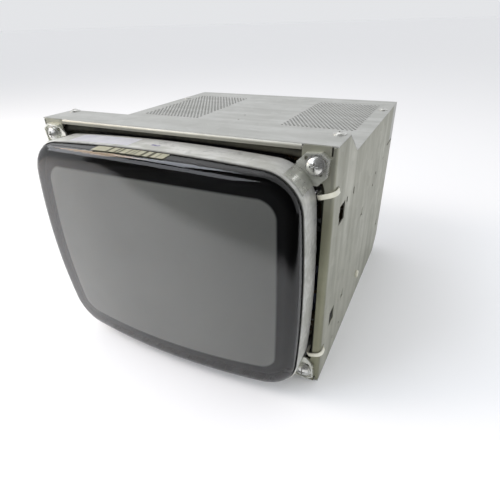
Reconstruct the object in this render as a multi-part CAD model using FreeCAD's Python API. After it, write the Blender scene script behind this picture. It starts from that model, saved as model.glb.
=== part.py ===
"""Display unit: a 14-inch picture tube in its sheet-steel chassis, with the electronics behind it.

Millimetres. While modelling, y = 0 is the front face of the chassis, +y runs to the rear, z = 0 is the
underside and x = 0 the middle.  save() shifts every piece so that the middle of the depth is at y = 0.
"""
import FreeCAD
import Part
import math
import os

V = FreeCAD.Vector
X_AXIS = V(1, 0, 0)
Y_AXIS = V(0, 1, 0)
Z_AXIS = V(0, 0, 1)

# ---------------------------------------------------------------- chassis
WIDTH = 330.0
HEIGHT = 263.0
DEPTH = 334.0
SHEET = 1.2
SEAM = 0.4                 # gap between the edges of neighbouring sheets
FRONT_FOLD = 4.0           # outside radius of the side panels' front fold
SMALL_FOLD = 1.1           # rounding of the other folds
FRONT_FLANGE = 8.0         # width of the side panels' front flange
FIXING_FLANGE = 15.0       # width of the flanges that carry roof, floor and rear panel
STRIP_DEPTH = 43.5         # raised front strip of the roof
ROOF_DROP = 22.5           # roof below the strip
SLANT_RUN = 34.5           # depth of the slope between strip and roof
HEEL = 22.0                # bevel between floor and rear panel
TAB_WIDTH = 29.0           # corner tabs of the side panels
TAB_HEIGHT = 31.0
LIP_HEIGHT = 4.6           # front lips of roof and floor, between the tabs
LIP_FOLD = 3.0             # outside radius of their folds
EAR_WIDTH = 25.0           # ears of the roof, folded down at the rear corners
EAR_DROP = 51.0
VENT_HOLE_R = 1.6
VENT_PITCH = 5.2
VENT_INNER_X = 60.0
VENT_OUTER_X = 147.0
VENT_FRONT_Y = 147.0
VENT_REAR_Y = 298.0
MOUNT_HOLE_R = 2.25        # fixing holes in the floor
MOUNT_SPAN_X = 240.0
MOUNT_SPAN_Y = 220.0
MOUNT_FRONT_Y = 60.0
RIVET_R = 1.6
COVER_SCREW_INSET = 9.0
COVER_SCREW_R = 1.9
COVER_SCREW_HEAD_R = 4.2
COVER_SCREW_HEAD_H = 2.6
COVER_WASHER_R = 6.0
COVER_WASHER = 0.8
REAR_SCREW_R = 1.9
RELIEF = 3.0               # height of the relief slot under each ear
RELIEF_RUN = 16.0          # how far that slot reaches in front of the ear
LANCES = ((149.0, 144.0), (83.0, 66.0), (305.0, 58.0))     # (y, z) of the tongues in the sides
LANCE_LENGTH = 9.0
LANCE_HALF_H = 5.0
LANCE_ANGLE = 18.0
LANCE_OPEN = 3.6           # part of the window left open in front of the tongue
LANCE_SIDE_GAP = 1.0
SIDE_WINDOWS = (            # (y0, y1, z0, z1) of the square cut-outs in the sides
    (28.0, 47.0, 182.0, 201.0),
    (26.5, 29.0, 190.0, 196.0),
    (53.0, 57.0, 195.0, 201.0),
    (29.0, 46.0, 58.0, 76.0),
)
SIDE_SLOT = (81.0, 85.0, 193.0, 201.0)
SIDE_HOLES = (              # (y, z, radius)
    (207.5, 157.5, 2.2),
    (221.0, 170.0, 2.2),
    (271.0, 175.0, 2.2),
    (83.0, 20.0, 1.9),
    (54.0, 21.0, 1.9),
)
SPACER_HOLE_R = 3.0
DIMPLES = ((27.5, 30.5), (125.5, 22.0))     # (x, y) of the two dimples in the front strip
DIMPLE_R = 3.0
DIMPLE_DEPTH = 0.5
SPACER_Y = 169.0           # the pillar whose head shows in the side
SPACER_Z = 40.5
SLOT_W = 18.0              # air slots in the floor
SLOT_H = 3.5
LOUVRE_W = 48.0            # air slots in the rear panel
LOUVRE_PITCH = 11.0

# ---------------------------------------------------------------- picture tube
BAND_SIDE_GAP = 11.0       # between the band and the outside of the chassis
BAND_TOP_GAP = 9.9
SIDE_BOW_R = 1130.0        # radius of the bowed sides
TOP_BOW_R = 1960.0         # radius of the bowed top and bottom
BAND_CORNER_R = 38.0
BAND_SHEET = 1.0
BAND_FRONT_Y = -30.0
TAPE = 0.4
FACE_PROUD = 0.21          # the glass at its corners, in front of the band's front edge
FACE_R = 815.0
FACE_EDGE_R = 4.5
SKIRT_WALL = 9.0
FACE_WALL = 11.5
INNER_FACE_R = 700.0
INNER_EDGE_R = 5.0
SKIRT_DRAFT = 0.8
SKIRT_STRAIGHT_END = -4.0
SEAL_Y = 18.0
SEAL_STEP = 3.2
SCREEN_BORDER_W = 22.0     # from the band's outside to the screen
SCREEN_BORDER_H = 23.6
SCREEN_CORNER_R = 16.0
SCREEN_BOW_R = 1300.0
FUNNEL_WALL = 4.5
NECK_R = 14.55
NECK_WALL = 1.6
NECK_START_Y = 147.0
NECK_END_Y = 268.0
STEM = 4.0
COATING = 0.4              # the phosphor, thicker than life so that it is a solid
COATING_GAP = 0.15
COATING_MARGIN = 1.0
MASK_Y = -26.0
MASK_R = 690.0
MASK_SHEET = 0.4
FRAME_FRONT_Y = -14.0
FRAME_REAR_Y = 6.0
SHIELD_REAR_Y = 58.0
SHIELD_WALL = 0.5
FUNNEL_STATIONS = (0.0, 0.14, 0.28, 0.42, 0.56, 0.70, 0.80, 0.90, 1.0)
OVERSHOOT = 0.005          # share of the length by which the hollow passes both ends
PIN_CIRCLE_R = 7.6
PIN_R = 0.5
PIN_COUNT = 9
PIN_LENGTH = 6.5
GUN_STAGES = (             # (start in front of the stem, length, radius)
    (14.0, 10.0, 7.5),
    (26.0, 9.0, 8.6),
    (58.0, 29.0, 8.6),
    (88.0, 27.0, 9.6),
    (104.0, 13.0, 10.2),
)
GUN_ROD_CIRCLE_R = 10.3
GUN_ROD_R = 1.9
GUN_FINGERS = (30, 90, 150, 210, 270, 330)
BASE = 6.0
CAP_Y = 62.0
CAP_R = 21.0

# ---------------------------------------------------------------- lugs and their screws
LUG_SCREW_IN_X = 16.3      # screw centre from the chassis side
LUG_SCREW_IN_Z = 15.7      # screw centre from the chassis top or bottom
LUG_SHEET = 2.0
LUG_RIM_HEIGHT = 2.6
LUG_LEG = 26.0
LUG_LEG_HALF_W = 11.5
LUG_FIT = 0.1              # between the leg and the band
LUG_ON_BAND = 12.0         # the leg's middle, in from the band's half width and half height
LUG_OUTLINE = (            # (x, z) from the screw; the last point lies behind the band's corner
    (-16.2, 1.7),
    (-8.3, 9.7),
    (5.1, 11.0),
    (11.9, 5.7),
    (10.7, -8.3),
    (2.8, -17.3),
    (-18.0, -18.0),
)
LUG_SMALL_HOLES = ((-8.2, 5.2), (4.3, -7.3))
LUG_SMALL_HOLE_R = 1.7
LUG_DIMPLES = (-8.0, 0.0, 8.0)
LUG_DIMPLE_R = 2.0
LUG_SCREW_R = 2.9
LUG_HEAD_R = 6.8
LUG_HEAD_H = 4.4
WASHER_R = 8.6
WASHER = 1.4
COLLAR = 2.0               # depth of the threaded collar behind each corner tab
SLACK = 0.3                # radial gap round a screw in a clearance hole
THREAD_FIT = 0.05
TUBE_GAP = 1.6             # between the corner tabs and the band's outline

# ---------------------------------------------------------------- degaussing coil and ties
COIL_R = 4.3
COIL_OUTSIDE_W = 4.6       # the coil's centre line, outside the band's outline
COIL_OUTSIDE_H = 3.4
COIL_SIDE_BOW_R = 2040.0
COIL_TOP_BOW_R = 3200.0
COIL_CORNER_R = 32.0
TIE_HEIGHTS = (42.6, 224.0)
TIE_HOLE_Y = 14.0
TIE_HOLE_R = 2.6
TIE_WIDTH = 4.2
TIE_TILT = 20.0            # how far a tie slopes down from its hole
TIE_REACH_IN = 14.8        # inner side of a tie, from the chassis side
TIE_REACH_OUT = 1.4
TIE_FRONT_GAP = 0.5
TIE_BEND_R = 5.0
TIE_HEAD_W = 6.0
TIE_HEAD_DEPTH = 5.4
TIE_HEAD_IN = 3.5          # the head's side, in from the chassis side
TIE = 1.2

# ---------------------------------------------------------------- yoke and magnets
YOKE_FRONT_Y = 97.5
YOKE_REAR_Y = 150.0
YOKE_FLANGE_R = 72.0
COIL_LAYER = 3.0
LINER = 1.8
LAYER_GAP = 0.3
GLASS_GAP = 1.6
CORE_WALL = 7.0
CORE_FRONT_Y = 110.0
CORE_REAR_Y = 142.0
SLEEVE_GAP = 0.35
SLEEVE_WALL = 1.3
YOKE_SLEEVE_END = 164.0
MAGNET_START_Y = 171.0
MAGNET_WALL = 1.8
MAGNET_RING_W = 5.8        # radial width of the magnet rings
MAGNET_GAP = 0.35
MAGNET_SPACER = 1.6
RUNNING_FIT = 0.06
MAGNET_TAB = 7.0           # reach of their tabs beyond the rim
MAGNET_TAB_WIDTH = 7.0
MAGNETS = ("purity_ring_front", "purity_ring_rear", "four_pole_ring_front", "four_pole_ring_rear",
           "six_pole_ring_front", "six_pole_ring_rear")
LOCK_RING = 5.0
HOLDER_TAIL = 12.0         # sleeve behind the lock ring, for its clamp
CLAMP_FIT = 0.1

# ---------------------------------------------------------------- boards and rear panel
BOARD = 1.6
MAIN_BOARD_Z = 14.0
BOARD_SIDE_GAP = 25.0      # from the main board to the outside of the chassis
MAIN_BOARD_FRONT_Y = 62.0
BOARD_REAR_GAP = 22.0
NECK_BOARD_REACH = 22.0    # from the neck's end to the neck board
CONTROL_BOARD_IN = 26.0    # from the chassis rear to the control board
CONTROL_Z = 60.0
SHAFT_R = 3.0
CONTROL_KNOB_R = 6.5
CONTROL_KNOB_LENGTH = 9.0
PANEL_GAP = 0.8            # between a knob or cap and the panel behind it
CONTROLS = {"brightness_knob": 62.0, "contrast_knob": 92.0, "height_knob": 122.0}
INLET_X = -118.0
FUSE_X = -72.0
SIGNAL_X = -20.0
EARTH_X = -95.0
EARTH_Z = 38.0
FLYBACK_X = 92.0
FLYBACK_Y = 222.0
FLYBACK_W = 46.0
FLYBACK_D = 40.0
FLYBACK_H = 62.0
FLYBACK_HOUSING = 9.0      # depth of the adjuster housing behind the transformer
FLYBACK_KNOBS = {"focus_knob": 40.0, "screen_knob": 20.0}  # height above the board
FLYBACK_KNOB_GAP = 0.5
SPACER_R = 3.6
CANS = (                   # (x, y, radius, height) of the capacitors
    (-96.0, 150.0, 15.0, 42.0),
    (-60.0, 172.0, 9.0, 26.0),
    (-60.0, 200.0, 8.0, 24.0),
    (10.0, 180.0, 6.5, 22.0),
    (10.0, 200.0, 6.5, 22.0),
    (40.0, 160.0, 8.0, 25.0),
    (40.0, 240.0, 6.5, 20.0),
    (58.0, 264.0, 6.5, 20.0),
    (-52.0, 246.0, 8.0, 25.0),
    (-44.0, 272.0, 6.5, 20.0),
    (110.0, 150.0, 11.0, 30.0),
    (70.0, 140.0, 6.5, 20.0),
)
HEATSINKS = (              # (x, y0, y1, height, side of the fins)
    (-121.0, 186.0, 282.0, 52.0, -1),
    (124.0, 172.0, 204.0, 46.0, 1),
)
FIN_PITCH = 9.0
FIN = 1.6
CHIP_H = 4.5
CHIPS = (                  # (x, y, width, depth)
    (-20.0, 110.0, 30.0, 10.0),
    (25.0, 100.0, 24.0, 9.0),
    (-20.0, 140.0, 26.0, 9.0),
    (80.0, 110.0, 20.0, 8.0),
)
PLUG_H = 10.0
PLUGS = (                  # (x, y, width, depth)
    (-126.0, 100.0, 9.0, 26.0),
    (-30.0, 222.0, 22.0, 8.0),
    (20.0, 222.0, 26.0, 8.0),
    (126.0, 110.0, 9.0, 24.0),
    (-112.0, 296.0, 26.0, 9.0),
)
RESISTOR_R = 1.4
RESISTOR_PITCH = 11.0
INLET_W = 27.5
INLET_H = 20.5
INLET_SCREW_X = 20.0
INLET_PLATE = 2.5
INLET_CAVITY_W = 24.4
INLET_CAVITY_H = 16.6
INLET_CAVITY_DEPTH = 15.5
INLET_PINS = ((-7.0, -1.6), (0.0, 2.4), (7.0, -1.6))       # (x, z) from the inlet's centre
SHELL_W = 16.9             # fifteen-way connector
SHELL_H = 8.3
SHELL_REACH = 6.0
POST_X = 12.5
FUSE_BODY_R = 6.3
FUSE_CAP_R = 7.4
FUSE_PLUG_R = 4.2
FUSE_PLATE = 1.6
CAP_GAP = 0.3              # between the fuse cap and the holder's plate
EARTH_R = 2.0
EARTH_REACH = 9.0          # stud beyond the rear panel
EARTH_WASHER = 0.8
EARTH_NUT = 3.2

# ---------------------------------------------------------------- worked out from the above
HALF_W = WIDTH / 2
ROOF_Z = HEIGHT - ROOF_DROP
SLANT_END_Y = STRIP_DEPTH + SLANT_RUN
TUBE_Z = HEIGHT / 2
BAND_HALF_W = HALF_W - BAND_SIDE_GAP
BAND_HALF_H = TUBE_Z - BAND_TOP_GAP
GLASS_HALF_W = BAND_HALF_W - BAND_SHEET - TAPE
GLASS_HALF_H = BAND_HALF_H - BAND_SHEET - TAPE
GLASS_CORNER_R = BAND_CORNER_R - BAND_SHEET - TAPE
FACE_SAG = FACE_R - math.sqrt(FACE_R ** 2 - GLASS_HALF_W ** 2 - GLASS_HALF_H ** 2)
FACE_Y = BAND_FRONT_Y - FACE_PROUD - FACE_SAG
SCREEN_HALF_W = BAND_HALF_W - SCREEN_BORDER_W
SCREEN_HALF_H = BAND_HALF_H - SCREEN_BORDER_H
COIL_HALF_W = BAND_HALF_W + COIL_OUTSIDE_W
COIL_HALF_H = BAND_HALF_H + COIL_OUTSIDE_H
MAIN_BOARD_HALF_W = HALF_W - BOARD_SIDE_GAP
MAIN_BOARD_REAR_Y = DEPTH - BOARD_REAR_GAP
NECK_BOARD_Y = NECK_END_Y + NECK_BOARD_REACH
CONTROL_BOARD_Y = DEPTH - CONTROL_BOARD_IN
KNOB_START_Y = DEPTH + PANEL_GAP
REAR_Y = KNOB_START_Y + CONTROL_KNOB_LENGTH
SHIFT = V(0, -(FACE_Y + REAR_Y) / 2, 0)
INNER_FACE_Y = FACE_Y + FACE_WALL
LUG_X = HALF_W - LUG_SCREW_IN_X
LUG_Z = HEIGHT / 2 - LUG_SCREW_IN_Z      # above and below the tube axis
COIL_Y = SHEET + COLLAR + 1.0 + COIL_R
SLEEVE_R = NECK_R + SLEEVE_GAP
HOLDER_R = SLEEVE_R + SLEEVE_WALL
MAGNET_R = HOLDER_R + MAGNET_RING_W
MAGNET_TAB_REACH = MAGNET_R + MAGNET_TAB
ROOF_UNDER_Z = ROOF_Z - SHEET
STRIP_UNDER_Z = HEIGHT - SHEET
PANEL_REAR_Y = DEPTH - SHEET - 0.1
BEVEL = SHEET * math.sqrt(2)
EAR_BOTTOM_Z = ROOF_Z - EAR_DROP
EAR_FRONT_Y = DEPTH - EAR_WIDTH
RELIEF_FRONT_Y = EAR_FRONT_Y - RELIEF_RUN
TAB_INNER_X = HALF_W - TAB_WIDTH
LINER_IN = GLASS_GAP + COIL_LAYER + LAYER_GAP
OUTER_COIL_IN = LINER_IN + LINER + LAYER_GAP
CORE_IN = OUTER_COIL_IN + COIL_LAYER + LAYER_GAP
RING_PITCH = MAGNET_WALL + MAGNET_GAP
SPACER_PITCH = MAGNET_SPACER + MAGNET_GAP
LOCK_RING_Y = MAGNET_START_Y + len(MAGNETS) * RING_PITCH + len(MAGNETS) // 2 * SPACER_PITCH
HOLDER_END_Y = LOCK_RING_Y + LOCK_RING + HOLDER_TAIL
SOCKET_Y = NECK_END_Y + BASE + 0.4
BOARD_TOP = MAIN_BOARD_Z + BOARD


# ================================================================ helpers
def box(x0, x1, y0, y1, z0, z1):
    return Part.makeBox(x1 - x0, y1 - y0, z1 - z0, V(x0, y0, z0))


def rod(radius, start, end):
    run = end.sub(start)
    return Part.makeCylinder(radius, run.Length, start, run)


def pipe(outer, inner, start, end):
    return rod(outer, start, end).cut(rod(inner, start, end))


def prism(points, direction):
    return Part.Face(Part.makePolygon(points + points[:1])).extrude(direction)


def prism_yz(points, x0, x1):
    return prism([V(x0, y, z) for y, z in points], V(x1 - x0, 0, 0))


def prism_xz(points, y0, y1):
    return prism([V(x, y0, z) for x, z in points], V(0, y1 - y0, 0))


def prism_xy(points, z0, z1):
    return prism([V(x, y, z0) for x, y in points], V(0, 0, z1 - z0))


def joined(shapes):
    whole = shapes[0]
    for shape in shapes[1:]:
        whole = whole.fuse(shape)
    return whole.removeSplitter()


def cut(shape, tools):
    return shape.cut(Part.makeCompound(tools))


def aimed(shape, origin, direction):
    """A shape modelled along +z from the origin, set at a place and turned to a direction."""
    placed = shape.copy()
    placed.Placement = FreeCAD.Placement(origin, FreeCAD.Rotation(Z_AXIS, direction))
    return placed


def mirrored_x(shape):
    return shape.mirror(V(0, 0, 0), X_AXIS)


def mirrored_z(shape):
    return shape.mirror(V(0, 0, TUBE_Z), Z_AXIS)


def both_sides(shape):
    return [shape, mirrored_x(shape)]


def at_corners(shape):
    """Copies of an upper right piece at all four corners of the tube."""
    upper = both_sides(shape)
    return upper + [mirrored_z(piece) for piece in upper]


def rounded(shape, radius, picks):
    return shape.makeFillet(radius, [edge for edge in shape.Edges if picks(edge)])


def turned(profile, start=0.0, angle=360.0):
    """A solid turned about the tube axis from (y, radius) points."""
    points = [V(0, y, TUBE_Z + r) for y, r in profile]
    face = Part.Face(Part.makePolygon(points + points[:1]))
    solid = face.revolve(V(0, 0, TUBE_Z), Y_AXIS, angle)
    solid.rotate(V(0, 0, TUBE_Z), Y_AXIS, start)
    return solid


def washer_about_tube(front_y, rear_y, inner_r, outer_r):
    """A plain ring about the tube axis."""
    return turned([(front_y, inner_r), (front_y, outer_r), (rear_y, outer_r), (rear_y, inner_r)])


def on_tube(radius, angle, y):
    """A point at a radius and an angle (0 = up, 90 = right) round the tube axis."""
    turn = math.radians(angle)
    return V(radius * math.sin(turn), y, TUBE_Z + radius * math.cos(turn))


def save(name, shape):
    piece = shape.copy()
    piece.translate(SHIFT)
    piece.exportStep("parts/" + name + ".step")
    print(name, len(piece.Solids), "solids", round(sum(s.Volume for s in piece.Solids)), "mm3")


def cord(points, diameter):
    """A lead along straight runs joined by tangent arcs."""
    corners = [V(*point) for point in points]
    edges = []
    start = corners[0]
    for before, corner, after in zip(corners, corners[1:], corners[2:]):
        back = before.sub(corner)
        ahead = after.sub(corner)
        half_turn = (math.pi - back.getAngle(ahead)) / 2
        reach = 0.45 * min(back.Length, ahead.Length)
        radius = reach / math.tan(half_turn)
        back.normalize()
        ahead.normalize()
        inward = back.add(ahead).normalize()
        middle = corner.add(inward * (math.hypot(radius, reach) - radius))
        into = corner.add(back * reach)
        out = corner.add(ahead * reach)
        edges.append(Part.LineSegment(start, into).toShape())
        edges.append(Part.Arc(into, middle, out).toShape())
        start = out
    edges.append(Part.LineSegment(start, corners[-1]).toShape())
    path = Part.Wire(edges)
    first_run = corners[1].sub(corners[0])
    section = Part.Wire([Part.makeCircle(diameter / 2, corners[0], first_run)])
    return path.makePipeShell([section], True, False)


def screw(shank_r, length, head_r, head_h, slot=True):
    """A pan-head screw along +z: head above z = 0, shank below, with a cross recess."""
    dome_r = (head_r ** 2 + (head_h * 0.55) ** 2) / (2 * head_h * 0.55)
    dome = Part.makeSphere(dome_r, V(0, 0, head_h - dome_r))
    head = Part.makeCylinder(head_r, head_h).common(dome)
    body = head.fuse(Part.makeCylinder(shank_r, length, V(0, 0, -length)))
    if slot:
        arm = head_r * 0.58
        blade = head_r * 0.085
        depth = head_h * 0.6
        for a, b in ((arm, blade), (blade, arm)):
            body = body.cut(box(-a, a, -b, b, head_h - depth, head_h + 1))
    return body


def hexagon(across_flats, height, hole_r):
    corner_r = across_flats / math.sqrt(3)
    points = [(corner_r * math.cos(math.radians(60 * i)), corner_r * math.sin(math.radians(60 * i)))
              for i in range(6)]
    return prism_xy(points, 0, height).cut(Part.makeCylinder(hole_r, height))


def barrel(half_w, half_h, side_r, top_r, corner_r, y):
    """Closed outline at depth y: bowed sides, bowed top and bottom, round corners, all tangent."""
    side = V(half_w - side_r, 0, 0)
    top = V(0, 0, half_h - top_r)
    side_reach = side_r - corner_r
    top_reach = top_r - corner_r
    gap = top.sub(side)
    span = gap.Length
    along = (side_reach ** 2 - top_reach ** 2 + span ** 2) / (2 * span)
    across = math.sqrt(side_reach ** 2 - along ** 2)
    unit = gap * (1 / span)
    corner = side.add(unit * along).add(V(unit.z, 0, -unit.x) * across)
    if corner.z < 0 or corner.x < 0:
        corner = side.add(unit * along).sub(V(unit.z, 0, -unit.x) * across)
    to_side = corner.sub(side).normalize()
    to_top = corner.sub(top).normalize()
    middle = to_side.add(to_top).normalize()
    low = corner.add(to_side * corner_r)
    mid = corner.add(middle * corner_r)
    high = corner.add(to_top * corner_r)

    def at(point, sx, sz):
        return V(sx * point.x, y, TUBE_Z + sz * point.z)

    right = V(half_w, 0, 0)
    up = V(0, 0, half_h)
    arcs = [
        (at(low, 1, -1), at(right, 1, 1), at(low, 1, 1)),
        (at(low, 1, 1), at(mid, 1, 1), at(high, 1, 1)),
        (at(high, 1, 1), at(up, 1, 1), at(high, -1, 1)),
        (at(high, -1, 1), at(mid, -1, 1), at(low, -1, 1)),
        (at(low, -1, 1), at(right, -1, 1), at(low, -1, -1)),
        (at(low, -1, -1), at(mid, -1, -1), at(high, -1, -1)),
        (at(high, -1, -1), at(up, 1, -1), at(high, 1, -1)),
        (at(high, 1, -1), at(mid, 1, -1), at(low, 1, -1)),
    ]
    return Part.Wire([Part.Arc(*points).toShape() for points in arcs])


def tube_outline(inset, y):
    """The band's outer outline, moved in by an inset."""
    return barrel(BAND_HALF_W - inset, BAND_HALF_H - inset, SIDE_BOW_R - inset, TOP_BOW_R - inset,
                  BAND_CORNER_R - inset, y)


def slab(outline, depth):
    return Part.Face(outline).extrude(V(0, depth, 0))


def ball(apex_y, radius):
    """The ball behind a domed face whose foremost point is at apex_y."""
    return Part.makeSphere(radius, V(0, apex_y + radius, TUBE_Z))


def domed(block, apex_y, radius, edge_r):
    """A block with its front cut to a dome and the dome's edge rounded."""
    centre = V(0, apex_y + radius, TUBE_Z)

    def on_dome(edge):
        middle = edge.valueAt((edge.FirstParameter + edge.LastParameter) / 2)
        return abs(middle.sub(centre).Length - radius) < 0.01

    return rounded(block.common(ball(apex_y, radius)), edge_r, on_dome)


# ================================================================ chassis
def side_outline():
    """The side panel seen from the side, as (y, z)."""
    return [
        (0, SHEET),
        (DEPTH - HEEL - BEVEL + SHEET, SHEET),
        (PANEL_REAR_Y, HEEL + BEVEL - SHEET - 0.1),
        (PANEL_REAR_Y, EAR_BOTTOM_Z - RELIEF),
        (RELIEF_FRONT_Y, EAR_BOTTOM_Z - RELIEF),
        (RELIEF_FRONT_Y, EAR_BOTTOM_Z - SEAM),
        (EAR_FRONT_Y - SEAM, EAR_BOTTOM_Z - SEAM),
        (EAR_FRONT_Y - SEAM, ROOF_UNDER_Z),
        (SLANT_END_Y - SEAM - 0.6, ROOF_UNDER_Z),
        (STRIP_DEPTH - SEAM - 0.6, STRIP_UNDER_Z),
        (0, STRIP_UNDER_Z),
    ]


def front_profile():
    """Web, front fold and front flange of the right side panel, as a face at z = 0."""
    outer = FRONT_FOLD
    inner = FRONT_FOLD - SHEET
    bend = V(HALF_W - outer, outer, 0)
    diagonal = V(1, -1, 0).normalize()
    corners = [
        V(HALF_W, outer, 0),
        V(HALF_W, PANEL_REAR_Y, 0),
        V(HALF_W - SHEET, PANEL_REAR_Y, 0),
        V(HALF_W - SHEET, outer, 0),
    ]
    flange = [
        V(HALF_W - outer, SHEET, 0),
        V(HALF_W - FRONT_FLANGE, SHEET, 0),
        V(HALF_W - FRONT_FLANGE, 0, 0),
        V(HALF_W - outer, 0, 0),
    ]
    edges = [Part.makeLine(a, b) for a, b in zip(corners, corners[1:])]
    edges.append(Part.Arc(corners[-1], bend.add(diagonal * inner), flange[0]).toShape())
    edges += [Part.makeLine(a, b) for a, b in zip(flange, flange[1:])]
    edges.append(Part.Arc(flange[-1], bend.add(diagonal * outer), corners[0]).toShape())
    return Part.Face(Part.Wire(edges))


def side_window(y0, y1, z0, z1):
    return box(HALF_W - 3, HALF_W + 1, y0, y1, z0, z1)


def side_hole(y, z, radius):
    return rod(radius, V(HALF_W - 3, y, z), V(HALF_W + 1, y, z))


def side_slot(y0, y1, z0, z1):
    radius = min(y1 - y0, z1 - z0) / 2
    ends = [(y0 + radius, z0 + radius), (y1 - radius, z1 - radius)]
    pad = side_window(y0 + radius, y1 - radius, z0, z1) if y1 - y0 > z1 - z0 else \
        side_window(y0, y1, z0 + radius, z1 - radius)
    return pad.fuse([side_hole(y, z, radius) for y, z in ends])


def lance_window(y, z):
    return side_window(y - LANCE_LENGTH / 2, y + LANCE_LENGTH / 2, z - LANCE_HALF_H, z + LANCE_HALF_H)


def lance_tongue(y, z):
    """A tongue hinged at the rear edge of its window and pressed inward."""
    rear = y + LANCE_LENGTH / 2
    half = LANCE_HALF_H - LANCE_SIDE_GAP
    hinge = rear + SHEET / 3
    tongue = box(HALF_W - SHEET, HALF_W, rear - LANCE_LENGTH + LANCE_OPEN, hinge, z - half, z + half)
    tongue.rotate(V(HALF_W, hinge, z), Z_AXIS, -LANCE_ANGLE)
    return tongue


def corner_tab():
    """The upper right corner tab with its threaded collar."""
    top = HEIGHT - 0.3
    low = HEIGHT - TAB_HEIGHT
    bend = HALF_W - FRONT_FOLD
    points = [
        (TAB_INNER_X, low),
        (TAB_INNER_X + 19, low),
        (HALF_W - FRONT_FLANGE, low - 6),
        (bend, low - 6),
        (bend, top),
        (TAB_INNER_X, top),
    ]
    tab = prism_xz(points, 0, SHEET)
    tab = rounded(tab, 3.0, lambda e: e.BoundBox.XMax < TAB_INNER_X + 0.1 and e.BoundBox.YLength > 1
                  and e.BoundBox.ZMin > top - 1)
    hole = V(LUG_X, 0, TUBE_Z + LUG_Z)
    collar = rod(LUG_SCREW_R + 1.5, hole, hole.add(V(0, SHEET + COLLAR, 0)))
    thread = rod(LUG_SCREW_R + THREAD_FIT, hole.sub(V(0, 1, 0)), hole.add(V(0, 9, 0)))
    return cut(tab.fuse(collar), [thread, slab(tube_outline(-TUBE_GAP, -1), 9)])


def side_panel():
    web = front_profile().extrude(V(0, 0, HEIGHT))
    web = web.common(prism_yz(side_outline(), HALF_W - TAB_WIDTH, HALF_W + 1))
    inner = HALF_W - FIXING_FLANGE
    flange_front = FRONT_FOLD + 1
    roof_front = SLANT_END_Y + 5
    floor_rear = DEPTH - HEEL - 4
    flanges = [
        box(inner, HALF_W, flange_front, STRIP_DEPTH - 1, STRIP_UNDER_Z - SHEET, STRIP_UNDER_Z),
        box(inner, HALF_W, roof_front, EAR_FRONT_Y - 2, ROOF_UNDER_Z - SHEET, ROOF_UNDER_Z),
        box(inner, HALF_W, flange_front, floor_rear, SHEET, 2 * SHEET),
        box(inner, HALF_W, PANEL_REAR_Y - SHEET, PANEL_REAR_Y, HEEL + 6, EAR_BOTTOM_Z - RELIEF),
    ]
    tabs = [corner_tab(), mirrored_z(corner_tab())]
    panel = joined([web] + flanges + tabs)

    def outer_fold(edge):
        where = edge.BoundBox
        level = any(abs(where.ZMin - z) < 0.01 and abs(where.ZMax - z) < 0.01
                    for z in (SHEET, ROOF_UNDER_Z, STRIP_UNDER_Z))
        return level and where.XMin > HALF_W - 0.01 and where.YLength > 20

    panel = rounded(panel, SMALL_FOLD, outer_fold)
    holes = [
        side_slot(*SIDE_SLOT),
        side_hole(SPACER_Y, SPACER_Z, SPACER_HOLE_R),
    ]
    holes += [side_window(*window) for window in SIDE_WINDOWS]
    holes += [side_hole(*hole) for hole in SIDE_HOLES]
    holes += [side_hole(TIE_HOLE_Y, z, TIE_HOLE_R) for z in TIE_HEIGHTS]
    holes += [lance_window(y, z) for y, z in LANCES]
    holes += [rod(COVER_SCREW_R, V(x, y, z - 5), V(x, y, z + 5)) for x, y, z in cover_screw_places()]
    holes += [rod(RIVET_R, V(x, y, 0), V(x, y, 9)) for x, y in rivet_places()]
    holes += [rod(REAR_SCREW_R, V(x, DEPTH - 9, z), V(x, DEPTH + 9, z)) for x, z in rear_screw_places()]
    relief = box(HALF_W - FRONT_FOLD - 0.6, HALF_W - FRONT_FOLD + 0.8, -1, 3, HEIGHT - 8, HEIGHT + 1)
    holes += [relief, mirrored_z(relief)]
    tongues = [lance_tongue(y, z) for y, z in LANCES]
    return joined([cut(panel, holes)] + tongues)


def cover_screw_places():
    x = HALF_W - COVER_SCREW_INSET
    return [(x, STRIP_DEPTH - 5.5, HEIGHT), (x, EAR_FRONT_Y - 41, ROOF_Z)]


def rivet_places():
    x = HALF_W - FIXING_FLANGE / 2
    return [(x, y) for y in (30.0, DEPTH / 2, DEPTH - HEEL - 30)]


def rear_screw_places():
    x = HALF_W - FIXING_FLANGE / 2
    return [(x, HEEL + 22), (x, EAR_BOTTOM_Z - 30)]


def vent_field():
    """Centres of the staggered holes on the right half of the roof."""
    row_pitch = VENT_PITCH * math.sqrt(3) / 2
    rows = int((VENT_REAR_Y - VENT_FRONT_Y) / row_pitch) + 1
    places = []
    for row in range(rows):
        y = VENT_FRONT_Y + row * row_pitch
        x = VENT_INNER_X + (row % 2) * VENT_PITCH / 2
        while x <= VENT_OUTER_X:
            places.append((x, y))
            x += VENT_PITCH
    return places


def roof_sheet():
    """The level rear part of the roof: one face with all its holes, given its thickness."""
    corners = [(HALF_W, SLANT_END_Y), (HALF_W, DEPTH), (-HALF_W, DEPTH), (-HALF_W, SLANT_END_Y)]
    points = [V(x, y, ROOF_UNDER_Z) for x, y in corners]
    wires = [Part.makePolygon(points + points[:1])]
    holes = [(x, y, VENT_HOLE_R) for x, y in vent_field()]
    holes += [(x, y, COVER_SCREW_R + SLACK) for x, y, z in cover_screw_places()[1:]]
    holes += [(-x, y, radius) for x, y, radius in holes]
    holes += [(x, y, 1.2) for x, y in ((-3.0, 155.0), (-7.0, 181.0))]
    for x, y, radius in holes:
        wires.append(Part.Wire([Part.makeCircle(radius, V(x, y, ROOF_UNDER_Z), V(0, 0, -1))]))
    return Part.Face(wires).extrude(V(0, 0, SHEET))


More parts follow.
